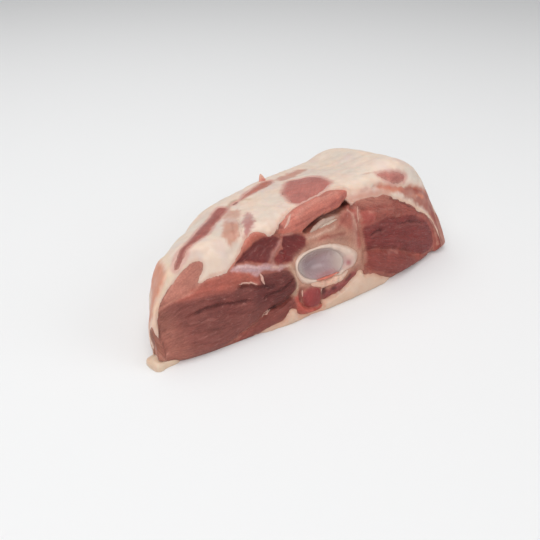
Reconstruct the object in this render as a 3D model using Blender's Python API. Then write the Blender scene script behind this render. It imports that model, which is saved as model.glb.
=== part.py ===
"""Bone-in pork shoulder roast that lies on its flat underside, with the cut face at the front.

The frame is +X along the cut face to its right end, +Y from the cut face to the back and +Z up. The origin is
the middle of the footprint on the resting surface. Lengths here are in millimetres, and the meshes are in metres.

A place on the skin is given as (x, w). The first is the frame's X, and w is the length along the cross-section
from the front foot, up the cut face, over the ridge and the top, and down the back.
"""
import math

import bmesh
import bpy
import numpy as np

MM = 0.001
LEFT_TIP, RIGHT_TIP = -126.0, 119.0
MIDDLE = (LEFT_TIP + RIGHT_TIP) / 2
HALF = (RIGHT_TIP - LEFT_TIP) / 2
GAP = 0.3

# The cross-section's stations: x, front foot y, back foot y, ridge y, ridge z, crest z.
STATIONS = np.array([
    [-126, -62, -39, -47, 33, 37],
    [-113, -63, -18, -43, 45, 51],
    [-95, -64, 6, -42, 50, 57],
    [-65, -65, 34, -41, 54, 58],
    [-30, -67, 49, -41, 60, 61],
    [10, -67, 57, -40, 64, 66],
    [50, -65, 61, -40, 63, 69],
    [82, -63, 62, -41, 57, 74],
    [101, -63, 46, -42, 47, 61],
    [111, -63, 11, -43, 35, 42],
    [119, -62, -19, -46, 22, 25],
], float)
CORNER_SHARPNESS = 11.0
END_BLUNTNESS_LEFT = 6.0
END_BLUNTNESS_RIGHT = 4.5
CORE_HEIGHT = 0.40
TOP_LEAN = math.radians(10)
TOP_SET_BACK = 22.0
SINK = 6.0

ROWS = 46
COLUMNS = 33
SECTION_STEPS = 360
NORMAL_SPAN = 5.0
FOOT_FADE = 7.0
TIP_FADE = 12.0

# The fat cover's lower front edge on the skin, as (x, w), and its other limits.
FAT_EDGE = [(-126, 30), (-113, 41), (-103, 49), (-95, 55), (-89, 51), (-86, 46), (-70, 47), (-59, 56), (-48, 62),
            (-33, 62), (-19, 71), (-7, 77), (22, 76), (30, 67), (40, 65), (57, 59), (76, 50), (94, 35), (106, 22),
            (120, 8)]
FAT_LEFT, FAT_RIGHT = -117.0, 107.0
FAT_HEM = 14.0
FAT_THICKNESS = 3.2
FAT_CLEARANCE = 0.8
FAT_ROWS = 29
FAT_COLUMNS = 17
CUTTER_REACH = 5.0
CUTTER_DEPTH = 7.0
POCKET_REACH = 6.0
BONE_POCKET_REACH = 9.0
FLOOR_CUT = 5.0

# Windows in the fat cover where the lean shows: centre line on the skin, half width.
WINDOWS = {
    "blade_window": ([(-5, 66), (2, 82), (8, 100), (19, 122)], 14.0),
    "long_window": ([(-98, 61), (-84, 76), (-68, 95), (-43, 115)], 4.5),
    "top_window": ([(-27, 118), (-12, 127), (6, 136)], 3.0),
    "right_window": ([(57, 76), (66, 71), (77, 66)], 4.0),
}

# Clefts between the muscles: depth, width, course on the skin.
CLEFTS = [
    (4.5, 3.6, [(-30, 60), (-14, 56), (-7, 58), (8, 61), (22, 63), (28, 66)]),
    (2.5, 5.0, [(24, 66), (26, 60)]),
    (1.5, 4.0, [(-70, 46), (-52, 43), (-33, 38), (-27, 36)]),
    (3.0, 4.0, [(-27, 36), (-27, 26), (-31, 19), (-42, 13), (-57, 9), (-73, 5)]),
    (2.0, 3.8, [(-38, 60), (-38, 50), (-42, 43)]),
    (2.0, 3.8, [(-25, 22), (-27, 12), (-20, 2)]),
    (2.2, 3.8, [(-5, 17), (-5, 8), (-9, 1)]),
    (2.2, 4.0, [(31, 54), (31, 40), (29, 27)]),
    (2.4, 3.8, [(31, 29), (45, 26), (60, 19), (75, 10), (88, 3)]),
    (1.6, 3.6, [(-108, 26), (-95, 27), (-82, 27), (-62, 24)]),
    (1.6, 3.6, [(-53, 23), (-44, 24), (-30, 28)]),
    (1.2, 3.6, [(-66, 35), (-50, 31)]),
    (2.0, 4.0, [(51, 68), (69, 63), (95, 53)]),
]
# Rounded muscles: height, centre on the skin, half length, half width, slope of the long axis.
MUSCLES = [
    (3.2, (-76, 24), 54, 21, 0.08),
    (3.8, (-3, 68), 30, 9, 0.22),
    (-2.0, (-50, 52), 17, 8, 0.25),
    (-1.5, (-24, 49), 11, 9, 0.0),
    (-2.0, (10, 51), 18, 8, 0.0),
    (2.6, (-14, 10), 11, 10, 0.0),
    (1.6, (6, 12), 14, 5, 0.35),
    (3.0, (68, 36), 38, 20, -0.45),
    (2.2, (58, 12), 30, 9, -0.4),
    (0.8, (60, 120), 40, 30, 0.0),
    (-0.8, (-60, 85), 30, 14, 0.8),
]

# Fat layer beneath the front: x and its height where the cut face shows it.
UNDER_FAT = [(-60, 1.6), (-50, 3.0), (-37, 6.5), (-27, 2.6), (-10, 2.6), (5, 5.0), (15, 11.0), (26, 15.5),
             (37, 12.0), (46, 5.5), (53, 1.8)]
UNDER_FAT_SET_BACK = 36.0
UNDER_FAT_OVERHANG = 8.0
UNDER_FAT_ROWS = 26
UNDER_FAT_COLUMNS = 8
UNDER_FAT_FADE = 18.0
UNDER_FAT_CORE = 2.6

# Shoulder joint: the socket of the blade bone in the cut face.
SOCKET = (-1.5, 31.5)
SOCKET_HALF_LENGTH = 21.0
SOCKET_HALF_WIDTH = 12.8
SOCKET_TILT = math.radians(-8)
TUBERCLE_REACH = 0.55
TUBERCLE_BEARING = math.radians(-3)
TUBERCLE_SPREAD = 0.36
BONE_DEPTH = 34.0
# Rings from the middle of the cup over the rim and down the neck: share of the outline, height over the face.
CUP_RINGS = [(0.0, -7.3), (0.3, -6.9), (0.58, -5.4), (0.80, -2.8), (0.90, -0.6)]
RIM_RINGS = [(0.96, 0.9), (1.0, -0.4)]
NECK_RINGS = [(1.0, -4.0), (0.90, -11.0), (0.72, -19.0), (0.66, -26.0), (0.68, -BONE_DEPTH)]
CARTILAGE_TOP = [(0.0, -5.0), (0.3, -4.6), (0.58, -3.2), (0.78, -0.9), (0.86, 0.2)]
CARTILAGE_UNDER = [(0.885, -0.5), (0.79, -2.5), (0.58, -5.0), (0.3, -6.5), (0.0, -6.9)]
RING_POINTS = 22

TENDON = ([(-8, 54.5), (0, 57.0), (12, 57.5)], 2.4, 6.0)
JOINT_FAT = ([(-19, 22), (-10, 17.2), (2, 15.8), (12, 17.2), (20, 20.5)], 3.6, 11.0)

# Fat tab that lies under the left tip: centre line on the resting surface, half width, thickness.
TAB_LINE = [(-131, -53), (-125, -52), (-118, -50), (-109, -48)]
TAB_HALF_WIDTH = 7.5
TAB_THICKNESS = 5.0
TAB_ROWS = 12
TAB_COLUMNS = 7

COLOURS = {
    "lean": ((0.30, 0.085, 0.07), 0.42),
    "fat": ((0.76, 0.60, 0.48), 0.48),
    "soft_fat": ((0.74, 0.50, 0.38), 0.45),
    "bone": ((0.66, 0.54, 0.42), 0.50),
    "cartilage": ((0.42, 0.33, 0.33), 0.30),
    "tendon": ((0.34, 0.28, 0.20), 0.40),
}


def through(points, t):
    """Smooth curve through (position, value) pairs, read at t: cubic Hermite with central slopes."""
    knots = np.array([p[0] for p in points], float)
    values = np.array([p[1] for p in points], float)
    slopes = np.gradient(values, knots)
    k = np.clip(np.searchsorted(knots, t) - 1, 0, len(knots) - 2)
    span = knots[k + 1] - knots[k]
    s = np.clip((t - knots[k]) / span, 0, 1)
    start = (2 * s**3 - 3 * s**2 + 1) * values[k] + (s**3 - 2 * s**2 + s) * span * slopes[k]
    end = (3 * s**2 - 2 * s**3) * values[k + 1] + (s**3 - s**2) * span * slopes[k + 1]
    return start + end


def sections(x):
    """Closed cross-sections at the places x, from straight down round the front, the top and the back.

    A section is the soft minimum of eight straight walls about a core point, which rounds every corner. It is
    scaled to nothing at the two tips, along a superellipse, and is cut off flat at the resting surface.
    """
    front, back, ridge_y, ridge_z, crest = (through(STATIONS[:, [0, k]], x) for k in range(1, 6))
    core_y = 0.5 * (front + back)
    core_z = CORE_HEIGHT * crest
    half_back = back - core_y
    half_up = crest - core_z
    bearing = -np.pi / 2 - np.linspace(0, 2 * np.pi, SECTION_STEPS + 1)
    dy, dz = np.cos(bearing), np.sin(bearing)
    walls = [
        (0, -1, core_y, -SINK),
        (-ridge_z, ridge_y - front, front, 0),
        (math.sin(TOP_LEAN), math.cos(TOP_LEAN), ridge_y + TOP_SET_BACK, crest),
        (1, 0, back, 0),
        (0.55, 0.835, core_y + 0.80 * half_back, core_z + 0.66 * half_up),
        (0.90, 0.43, core_y + 0.93 * half_back, core_z + 0.20 * half_up),
        (0.85, -0.52, back, 0.15 * crest),
        (-0.80, -0.60, front, 0.02 * crest),
    ]
    total = 0
    for ny, nz, py, pz in walls:
        size = np.hypot(ny, nz)
        ny, nz = ny / size, nz / size
        distance = (py - core_y) * ny + (pz - core_z) * nz
        facing = np.multiply.outer(ny * np.ones_like(x), dy) + np.multiply.outer(nz * np.ones_like(x), dz)
        total = total + (np.maximum(facing, 0) / distance[:, None]) ** CORNER_SHARPNESS
    bluntness = np.where(x < MIDDLE, END_BLUNTNESS_LEFT, END_BLUNTNESS_RIGHT)
    taper = np.maximum(1 - np.abs((x - MIDDLE) / HALF) ** bluntness, 0) ** (1 / bluntness)
    radius = total ** (-1 / CORNER_SHARPNESS) * taper[:, None]
    y = core_y[:, None] + radius * dy
    z = np.maximum(core_z[:, None] + radius * dz, 0)
    return y, z


def skin(x, w):
    """Points of the bare skin: each row of w is read along the section at that row's x."""
    y, z = sections(x)
    step = np.hypot(np.diff(y, axis=1), np.diff(z, axis=1))
    along = np.concatenate([np.zeros((len(x), 1)), np.cumsum(step, axis=1)], axis=1)
    foot = along[np.arange(len(x)), np.argmax(z > 0.01, axis=1)]
    points = np.empty(w.shape + (3,))
    points[..., 0] = x[:, None]
    for row, (section_y, section_z, reach) in enumerate(zip(y, z, along)):
        points[row, :, 1] = np.interp(w[row] + foot[row], reach, section_y)
        points[row, :, 2] = np.interp(w[row] + foot[row], reach, section_z)
    return points


def directions(x, w):
    """Unit directions of the bare skin along x, along w and outwards, read over a span that turns gently."""
    along_x = skin(np.minimum(x + NORMAL_SPAN, RIGHT_TIP), w) - skin(np.maximum(x - NORMAL_SPAN, LEFT_TIP), w)
    along_w = skin(x, w + NORMAL_SPAN) - skin(x, w - NORMAL_SPAN)
    found = (along_x, along_w, np.cross(along_x, along_w))
    return [d / np.maximum(np.linalg.norm(d, axis=-1, keepdims=True), 1e-9) for d in found]


def distance_to_course(x, w, course):
    """Distance in (x, w) from each place to a chain of straight stretches."""
    nearest = np.full(np.broadcast(x, w).shape, np.inf)
    for (x0, w0), (x1, w1) in zip(course[:-1], course[1:]):
        dx, dw = x1 - x0, w1 - w0
        share = np.clip(((x - x0) * dx + (w - w0) * dw) / (dx * dx + dw * dw), 0, 1)
        nearest = np.minimum(nearest, np.hypot(x - x0 - share * dx, w - w0 - share * dw))
    return nearest


def relief(x, w):
    """Height over the bare skin: rounded muscles, less bell-shaped clefts, fading to none at the foot."""
    height = np.zeros(np.broadcast(x, w).shape)
    for rise, (cx, cw), half_length, half_width, slope in MUSCLES:
        turn = math.atan(slope)
        u = (x - cx) * math.cos(turn) + (w - cw) * math.sin(turn)
        v = (w - cw) * math.cos(turn) - (x - cx) * math.sin(turn)
        height += rise * np.clip(1 - (u / half_length) ** 2 - (v / half_width) ** 2, 0, 1) ** 0.8
    for depth, width, course in CLEFTS:
        height -= depth * np.exp(-(distance_to_course(x, w, course) / width) ** 2)
    fade = np.clip(w / FOOT_FADE, 0, 1)
    ends = np.clip((HALF - np.abs(x - MIDDLE)) / TIP_FADE, 0, 1)
    return height * fade * fade * (3 - 2 * fade) * ends


def on_skin(x, w, out):
    """Points on the finished surface, raised by out along the normal."""
    return skin(x, w) + (relief(x[:, None], w) + out)[..., None] * directions(x, w)[2]


def new_object(name, points, faces, finish, smooth_angle=40):
    """Mesh object in metres from points in millimetres, with its faces pointing out and its finish."""
    mesh = bpy.data.meshes.new(name)
    mesh.from_pydata((np.asarray(points) * MM).tolist(), [], faces)
    shell = bmesh.new()
    shell.from_mesh(mesh)
    bmesh.ops.recalc_face_normals(shell, faces=shell.faces)
    shell.to_mesh(mesh)
    shell.free()
    mesh.shade_smooth()
    mesh.set_sharp_from_angle(angle=math.radians(smooth_angle))
    mesh.materials.append(material(finish))
    item = bpy.data.objects.new(name, mesh)
    bpy.context.scene.collection.objects.link(item)
    return item


def material(name):
    """Principled material in one of the roast's colours, made once."""
    made = bpy.data.materials.get(name)
    if made is None:
        made = bpy.data.materials.new(name)
        made.use_nodes = True
        shader = made.node_tree.nodes["Principled BSDF"]
        colour, roughness = COLOURS[name]
        shader.inputs["Base Color"].default_value = (*colour, 1)
        shader.inputs["Roughness"].default_value = roughness
        shader.inputs["Metallic"].default_value = 0.0
    return made


def ring_faces(rings, count, first_pole, last_pole):
    """Quads between neighbouring closed rings of count points, with a fan at each pole."""
    here = np.arange(count)
    after = (here + 1) % count
    faces = []
    for ring in range(rings - 1):
        a, b = ring * count, (ring + 1) * count
        faces += np.stack([a + here, a + after, b + after, b + here], axis=1).tolist()
    last = (rings - 1) * count
    faces += [[first_pole, after[k], here[k]] for k in range(count)]
    faces += [[last_pole, last + here[k], last + after[k]] for k in range(count)]
    return faces


def roast_body(name, finish):
    """The whole roast as one closed skin: rings of places round each section, and a pole at each tip.

    The places are closest together on the cut face and widest apart on the underside.
    """
    share = np.linspace(0, 1, ROWS + 2)[1:-1]
    x = MIDDLE - HALF * np.cos(np.pi * share)
    y, z = sections(x)
    along = np.concatenate(
        [np.zeros((ROWS, 1)), np.cumsum(np.hypot(np.diff(y, axis=1), np.diff(z, axis=1)), axis=1)], axis=1)
    foot = along[np.arange(ROWS), np.argmax(z > 0.01, axis=1)]
    w = along - foot[:, None]
    under = (z < 0.01)
    closeness = np.where(under, 0.18, np.where(w < 80, 1.0, np.where(w < 140, 0.55, 0.38)))
    weighted = np.concatenate(
        [np.zeros((ROWS, 1)), np.cumsum(np.diff(along, axis=1) * closeness[:, 1:], axis=1)], axis=1)
    places = np.empty((ROWS, COLUMNS))
    for row in range(ROWS):
        wanted = np.linspace(0, weighted[row, -1], COLUMNS, endpoint=False)
        places[row] = np.interp(wanted, weighted[row], w[row])
    points = on_skin(x, places, 0.0)
    points[..., 2] = np.maximum(points[..., 2], 0)
    tips = [(tip, 0.5 * (a + b), CORE_HEIGHT * c) for tip, (a, b, c) in
            ((LEFT_TIP, STATIONS[0, [1, 2, 5]]), (RIGHT_TIP, STATIONS[-1, [1, 2, 5]]))]
    count = ROWS * COLUMNS
    points = np.concatenate([points.reshape(-1, 3), tips])
    return new_object(name, points, ring_faces(ROWS, COLUMNS, count, count + 1), finish)


def sheet_solid(name, outer, inner, finish="lean"):
    """Closed solid between two grids of points of the same shape, with walls round the edge."""
    rows, columns = outer.shape[:2]
    number = np.arange(rows * columns).reshape(rows, columns)
    a, b, c, d = number[:-1, :-1], number[1:, :-1], number[1:, 1:], number[:-1, 1:]
    top = np.stack([a, b, c, a, c, d], axis=-1).reshape(-1, 3)
    bottom = top[:, ::-1] + rows * columns
    edge = np.concatenate([number[0], number[1:, -1], number[-1, -2::-1], number[-2:0:-1, 0]])
    after = np.roll(edge, -1)
    low, low_after = edge + rows * columns, after + rows * columns
    wall = np.stack([edge, after, low_after, edge, low_after, low], axis=1).reshape(-1, 3)
    points = np.concatenate([outer.reshape(-1, 3), inner.reshape(-1, 3)])
    return new_object(name, points, np.concatenate([top, bottom, wall]).tolist(), finish)


def band_places(line, half_width, along=12, across=5):
    """Grid of (x, w) about a centre line, its width rounded off at the two ends, and its unit course."""
    line = np.array(line, float)
    knots = np.linspace(0, 1, len(line))
    t = np.linspace(0, 1, along)
    x = through(np.stack([knots, line[:, 0]], axis=1), t)
    w = through(np.stack([knots, line[:, 1]], axis=1), t)
    dx, dw = np.gradient(x), np.gradient(w)
    length = np.hypot(dx, dw)
    dx, dw = (dx / length)[:, None], (dw / length)[:, None]
    width = half_width * (1 - np.abs(2 * t - 1) ** 3 * 0.94) ** (1 / 3)
    aside = np.multiply.outer(width, np.linspace(-1, 1, across))
    return x[:, None] - aside * dw, w[:, None] + aside * dx, dx, dw


def border(count):
    """-1 at the first place, 1 at the last and 0 between, which moves only a grid's border."""
    return np.concatenate([[-1.0], np.zeros(count - 2), [1.0]])


def band_solid(name, line, half_width, out, depth, grow=0.0):
    """Solid that follows a band of the skin, from out above it to depth below it, its border moved by grow."""
    grid_x, grid_w, dx, dw = band_places(line, half_width)
    shape = grid_x.shape + (3,)
    flat_x, flat_w = grid_x.reshape(-1), grid_w.reshape(-1, 1)
    along_x, along_w, facing = (d.reshape(shape) for d in directions(flat_x, flat_w))
    course = along_x * dx[..., None] + along_w * dw[..., None]
    aside = along_w * dx[..., None] - along_x * dw[..., None]
    rows, columns = grid_x.shape
    base = skin(flat_x, flat_w).reshape(shape)
    base += grow * (border(rows)[:, None, None] * course + border(columns)[None, :, None] * aside)
    return sheet_solid(name, base + out * facing, base - depth * facing)


def window(name, line, half_width, grow):
    """Cutter of one window, which reaches past both faces of the fat cover."""
    return band_solid(name, line, half_width, CUTTER_REACH, CUTTER_DEPTH, grow)


def fat_region(name, grow=0.0):
    """The space of the fat cover: from its edge on the cut face over the top to its hem.

    Grow moves its border out and its underside down.
    """
    x = np.linspace(FAT_LEFT, FAT_RIGHT, FAT_ROWS)
    y, z = sections(x)
    length = np.hypot(np.diff(y, axis=1), np.diff(z, axis=1))
    exposed = (length * (z[:, 1:] > 0.01)).sum(axis=1)
    edge = np.interp(x, *np.array(FAT_EDGE, float).T)
    share = np.linspace(0, 1, FAT_COLUMNS) ** 1.35
    w = edge[:, None] + np.multiply.outer(exposed - FAT_HEM - edge, share)
    along_x, along_w, facing = directions(x, w)
    base = skin(x, w)
    base += grow * (border(FAT_ROWS)[:, None, None] * along_x + border(FAT_COLUMNS)[None, :, None] * along_w)
    height = relief(x[:, None], w)[..., None]
    under = base + (height - FAT_THICKNESS - grow) * facing
    over = base + (height + CUTTER_REACH - 1) * facing
    return sheet_solid(name, over, under)


def under_fat_region(name, grow=0.0):
    """The space of the fat layer beneath the front: high at the cut face, thin towards the back."""
    rows, columns = UNDER_FAT_ROWS, UNDER_FAT_COLUMNS
    x = np.linspace(UNDER_FAT[0][0], UNDER_FAT[-1][0], rows)
    front = through(STATIONS[:, [0, 1]], x) - UNDER_FAT_OVERHANG
    back = through(STATIONS[:, [0, 2]], x) - UNDER_FAT_SET_BACK
    shown = through(UNDER_FAT, x)
    x = x + grow * border(rows)
    depth = np.linspace(0, 1, columns) ** 1.3
    y = front[:, None] + (back - front)[:, None] * depth + grow * border(columns)
    inside = np.maximum(y - front[:, None] - UNDER_FAT_OVERHANG, 0)
    fade = np.exp(-inside / UNDER_FAT_FADE)
    core = np.minimum(UNDER_FAT_CORE, shown)[:, None]
    top = core + (shown[:, None] - core) * fade + grow
    wide = np.broadcast_to(x[:, None], y.shape)
    under = np.stack([wide, y, np.full_like(y, -FLOOR_CUT)], axis=-1)
    return sheet_solid(name, np.stack([wide, y, top], axis=-1), under)


def socket_frame():
    """The joint's place on the cut face, its two axes along the face and its outward axis."""
    x, w = np.array([SOCKET[0]]), np.array([[SOCKET[1]]])
    place = skin(x, w)[0, 0]
    out = directions(x, w)[2][0, 0]
    across = np.cross(np.cross(out, [1, 0, 0]), out)
    across /= np.linalg.norm(across)
    return place, across, np.cross(out, across), out


def joint_rings(rings, lobe, grow=0.0):
    """Rings about the socket's axis: an ellipse, with the tubercle's lobe on its right for lobe of 1."""
    place, across, up, out = socket_frame()
    turn = np.linspace(0, 2 * np.pi, RING_POINTS, endpoint=False)
    off = (turn - TUBERCLE_BEARING + np.pi) % (2 * np.pi) - np.pi
    reach = 1 + lobe * TUBERCLE_REACH * np.exp(-(off / TUBERCLE_SPREAD) ** 2)
    u = SOCKET_HALF_LENGTH * np.cos(turn) * reach
    v = SOCKET_HALF_WIDTH * np.sin(turn) * (1 + 0.3 * (reach - 1))
    u, v = (u * math.cos(SOCKET_TILT) - v * math.sin(SOCKET_TILT),
            u * math.sin(SOCKET_TILT) + v * math.cos(SOCKET_TILT))
    size = np.hypot(u, v)
    points = []
    for share, height in rings:
        scale = share + grow / size
        points.append(place + np.multiply.outer(u * scale, across) + np.multiply.outer(v * scale, up) + height * out)
    return points


def joint_solid(name, rings, finish, axis_start, axis_end):
    """Closed solid of rings about the socket's axis, capped by a point at each end."""
    place, _, _, out = socket_frame()
    count = len(rings) * RING_POINTS
    points = np.concatenate([np.concatenate(rings), [place + axis_start * out], [place + axis_end * out]])
    return new_object(name, points, ring_faces(len(rings), RING_POINTS, count, count + 1), finish)


def fat_tab(name, grow=0.0, finish="fat"):
    """Flat tongue of fat on the resting surface, rounded at its tip, part of it under the left end."""
    rows, columns = TAB_ROWS, TAB_COLUMNS
    grid_x, grid_y, dx, dy = band_places(TAB_LINE, TAB_HALF_WIDTH, rows, columns)
    lengthwise, sideways = grow * border(rows)[:, None], grow * border(columns)
    grid_x, grid_y = (grid_x + lengthwise * dx - sideways * dy, grid_y + lengthwise * dy + sideways * dx)
    share = np.linspace(-1, 1, columns)[None, :] ** 2
    top = TAB_THICKNESS * (1 - 0.45 * share) * np.ones_like(grid_x) + grow
    over = np.stack([grid_x, grid_y, top], axis=-1)
    under = np.stack([grid_x, grid_y, np.zeros_like(top) - (FLOOR_CUT if grow else 0.0)], axis=-1)
    return sheet_solid(name, over, under, finish)


def as_tool(item):
    """Marks an object as a cutter: shown in wire and left out of the model."""
    item.hide_render = True
    item.display_type = "WIRE"
    return item


def combine(item, operation, tool):
    """Exact Boolean of an object with a cutter, kept live."""
    step = item.modifiers.new(tool.name, "BOOLEAN")
    step.operation = operation
    step.object = tool
    step.solver = "EXACT"
    return item


def build():
    """The roast's pieces, each with a small gap to its neighbours."""
    fat_space = as_tool(fat_region("fat_space"))
    fat_pocket = as_tool(fat_region("fat_pocket", FAT_CLEARANCE))
    for label, (line, half_width) in WINDOWS.items():
        combine(fat_space, "DIFFERENCE", as_tool(window(label, line, half_width, GAP)))
        combine(fat_pocket, "DIFFERENCE", as_tool(window(label + "_plug", line, half_width, -GAP)))

    bone_outline = joint_rings([(1.0, BONE_POCKET_REACH)] + NECK_RINGS, 1.0, GAP)
    bone_pocket = as_tool(joint_solid("bone_pocket", bone_outline, "lean", BONE_POCKET_REACH, -BONE_DEPTH - GAP))
    under_fat_pocket = as_tool(under_fat_region("under_fat_pocket", GAP))
    tendon_line, tendon_half, tendon_depth = TENDON
    tendon_pocket = as_tool(
        band_solid("tendon_pocket", tendon_line, tendon_half, POCKET_REACH, tendon_depth + GAP, GAP))
    crescent_line, crescent_half, crescent_depth = JOINT_FAT
    crescent_pocket = as_tool(
        band_solid("joint_fat_pocket", crescent_line, crescent_half, POCKET_REACH, crescent_depth + GAP, GAP))
    tab_pocket = as_tool(fat_tab("fat_tab_pocket", GAP, "lean"))

    lean = roast_body("lean", "lean")
    for pocket in (fat_pocket, under_fat_pocket, bone_pocket, tendon_pocket, crescent_pocket, tab_pocket):
        combine(lean, "DIFFERENCE", pocket)

    cover = roast_body("fat_cover", "fat")
    combine(cover, "INTERSECT", fat_space)

    under_fat = roast_body("under_fat", "fat")
    combine(under_fat, "INTERSECT", as_tool(under_fat_region("under_fat_space")))
    combine(under_fat, "DIFFERENCE", bone_pocket)

    tendon = roast_body("tendon", "tendon")
    combine(tendon, "INTERSECT",
            as_tool(band_solid("tendon_space", tendon_line, tendon_half, POCKET_REACH, tendon_depth)))

    joint_fat = roast_body("joint_fat", "soft_fat")
    combine(joint_fat, "INTERSECT",
            as_tool(band_solid("joint_fat_space", crescent_line, crescent_half, POCKET_REACH, crescent_depth)))
    combine(joint_fat, "DIFFERENCE", bone_pocket)
    combine(joint_fat, "DIFFERENCE", under_fat_pocket)

    bone = joint_rings(CUP_RINGS[1:], 0.0) + joint_rings(RIM_RINGS + NECK_RINGS, 1.0)
    joint_solid("shoulder_bone", bone, "bone", CUP_RINGS[0][1], -BONE_DEPTH)
    cartilage = joint_rings(CARTILAGE_TOP[1:] + CARTILAGE_UNDER[:-1], 0.0)
    joint_solid("socket_cartilage", cartilage, "cartilage", CARTILAGE_TOP[0][1], CARTILAGE_UNDER[-1][1])

    fat_tab("fat_tab")


def clear_scene():
    """Removes what the file opens with."""
    for item in list(bpy.data.objects):
        bpy.data.objects.remove(item, do_unlink=True)


clear_scene()
build()
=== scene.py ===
"""Looks of the bone-in pork shoulder roast: its cut muscles, fat cover, joint and strands, and a pale floor.

Lengths are worked out in millimetres and put into the meshes in metres. A place on the skin is (x, w): x is
the frame's X, and w is the length along the cross-section from the front foot, up the cut face, over the
ridge and the top, and down the back. Tones are screen colours from 0 to 255, made linear when they are used.
"""

import itertools
import math

import bpy
import numpy as np
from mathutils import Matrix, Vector


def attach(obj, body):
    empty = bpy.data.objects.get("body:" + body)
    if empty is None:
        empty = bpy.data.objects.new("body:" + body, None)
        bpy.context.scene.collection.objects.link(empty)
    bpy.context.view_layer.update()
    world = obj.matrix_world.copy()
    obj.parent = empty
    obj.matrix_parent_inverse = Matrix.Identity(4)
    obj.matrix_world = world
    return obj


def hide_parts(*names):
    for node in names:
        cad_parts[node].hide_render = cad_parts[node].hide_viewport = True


MM = 0.001
LEFT_TIP, RIGHT_TIP = -126.0, 119.0
MIDDLE = (LEFT_TIP + RIGHT_TIP) / 2
HALF = (RIGHT_TIP - LEFT_TIP) / 2

# The cross-section's stations: x, front foot y, back foot y, ridge y, ridge z, crest z.
STATIONS = np.array([
    [-126, -62, -39, -47, 33, 37],
    [-113, -63, -18, -43, 45, 51],
    [-95, -64, 6, -42, 50, 57],
    [-65, -65, 34, -41, 54, 58],
    [-30, -67, 49, -41, 60, 61],
    [10, -67, 57, -40, 64, 66],
    [50, -65, 61, -40, 63, 69],
    [82, -63, 62, -41, 57, 74],
    [101, -63, 46, -42, 47, 61],
    [111, -63, 11, -43, 35, 42],
    [119, -62, -19, -46, 22, 25],
], float)
CORNER_SHARPNESS = 11.0
END_BLUNTNESS_LEFT = 6.0
END_BLUNTNESS_RIGHT = 4.5
CORE_HEIGHT = 0.40
TOP_LEAN = math.radians(10)
TOP_SET_BACK = 22.0
SINK = 6.0
SECTION_STEPS = 480
PROFILE_STEPS = 60001
NORMAL_SPAN = 5.0
# A point that is no higher than this lies on the floor.
ON_FLOOR = 0.01
# Distances on the skin are worked out up to this far.
FAR = 16.0
LATTICE = 32

MEAT_ROWS, MEAT_COLUMNS = 330, 296
COVER_ROWS, COVER_COLUMNS = 276, 190
LOW_ROWS, LOW_COLUMNS = 170, 110
END_RADIUS = 30.0
# How close together the points round the meat are, on the underside, the cut face, the top and the back.
UNDERSIDE_CLOSENESS, FACE_CLOSENESS, TOP_CLOSENESS, BACK_CLOSENESS = 0.10, 1.0, 0.62, 0.36
FACE_END, TOP_END = 82, 145

# Meat: how far it lies back under the fat and how high it stands there, how far it lies back beneath the low
# fat, and how far it stays off the floor there.
LEAN_UNDER_FAT, LEAN_MOST_UNDER_FAT = 2.2, 1.2
LEAN_OVER_LOW_FAT, LEAN_OFF_FLOOR = 1.2, 0.3
# The rounded left corner of the cut face: its place by taper, its spread, and how far the meat draws back.
CORNER_TAPER, CORNER_SPREAD, CORNER_DRAW = 0.74, 0.18, 3.0
# Fat cover: the taper where it ends, its heights over the skin, its thickness and its gap to the floor.
COVER_END = 0.47
COVER_BASE, COVER_RISE, COVER_THICKNESS, COVER_GAP = 0.4, 0.3, 2.6, 0.2
# Its hem over the floor, in the middle and at the tips, and how far the sheet runs on beneath the hem.
HEM, TIP_HEM, HEM_TUCK = 12.0, 3, 3
# Drops at its edge: depth, and the distances from the edge at which the drop is full and none.
COVER_DROPS = [(1.1, -1.5, 0.7), (3.8, -4.0, -0.9)]
# Lift of its front edge over the joint: height, the share of it at places in x, and where it ends in w.
EDGE_LIFT = 1.6
LIFTED_X, LIFTED_SHARE, LIFTED_END = [-30, -24, 24, 30], [0.0, 1.0, 1.0, 0.0], 84
# Low fat: its reach in x, its start and width in w, its thickness, and how far its edge dips into the meat.
LOW_LEFT, LOW_RIGHT = -63, 60
LOW_START, LOW_WIDTH = -52, 71
LOW_THICKNESS, LOW_DIP = 3.0, 3.4
# Height over the floor of its inner face, and of its outer face where there is no fat.
LOW_INNER, LOW_TUCKED = 1.8, 1.2

# Unevenness by noise: height, size, seed.
LEAN_BUMPS = [(0.7, 9.0, 3), (0.35, 3.2, 4)]
COVER_BUMPS = [(1.3, 17.0, 5), (0.5, 6.0, 6)]
COVER_EDGE_BUMPS = [(1.3, 2.8, 7), (0.7, 1.2, 10)]
OPENING_BUMPS = [(1.4, 2.0, 35)]
LOW_EDGE_BUMPS = [(1.0, 2.4, 8)]
LOW_BUMPS = [(0.8, 5.0, 9)]
PAINT_BUMPS = [(1.0, 3.0, 11), (0.6, 1.3, 12)]

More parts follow.
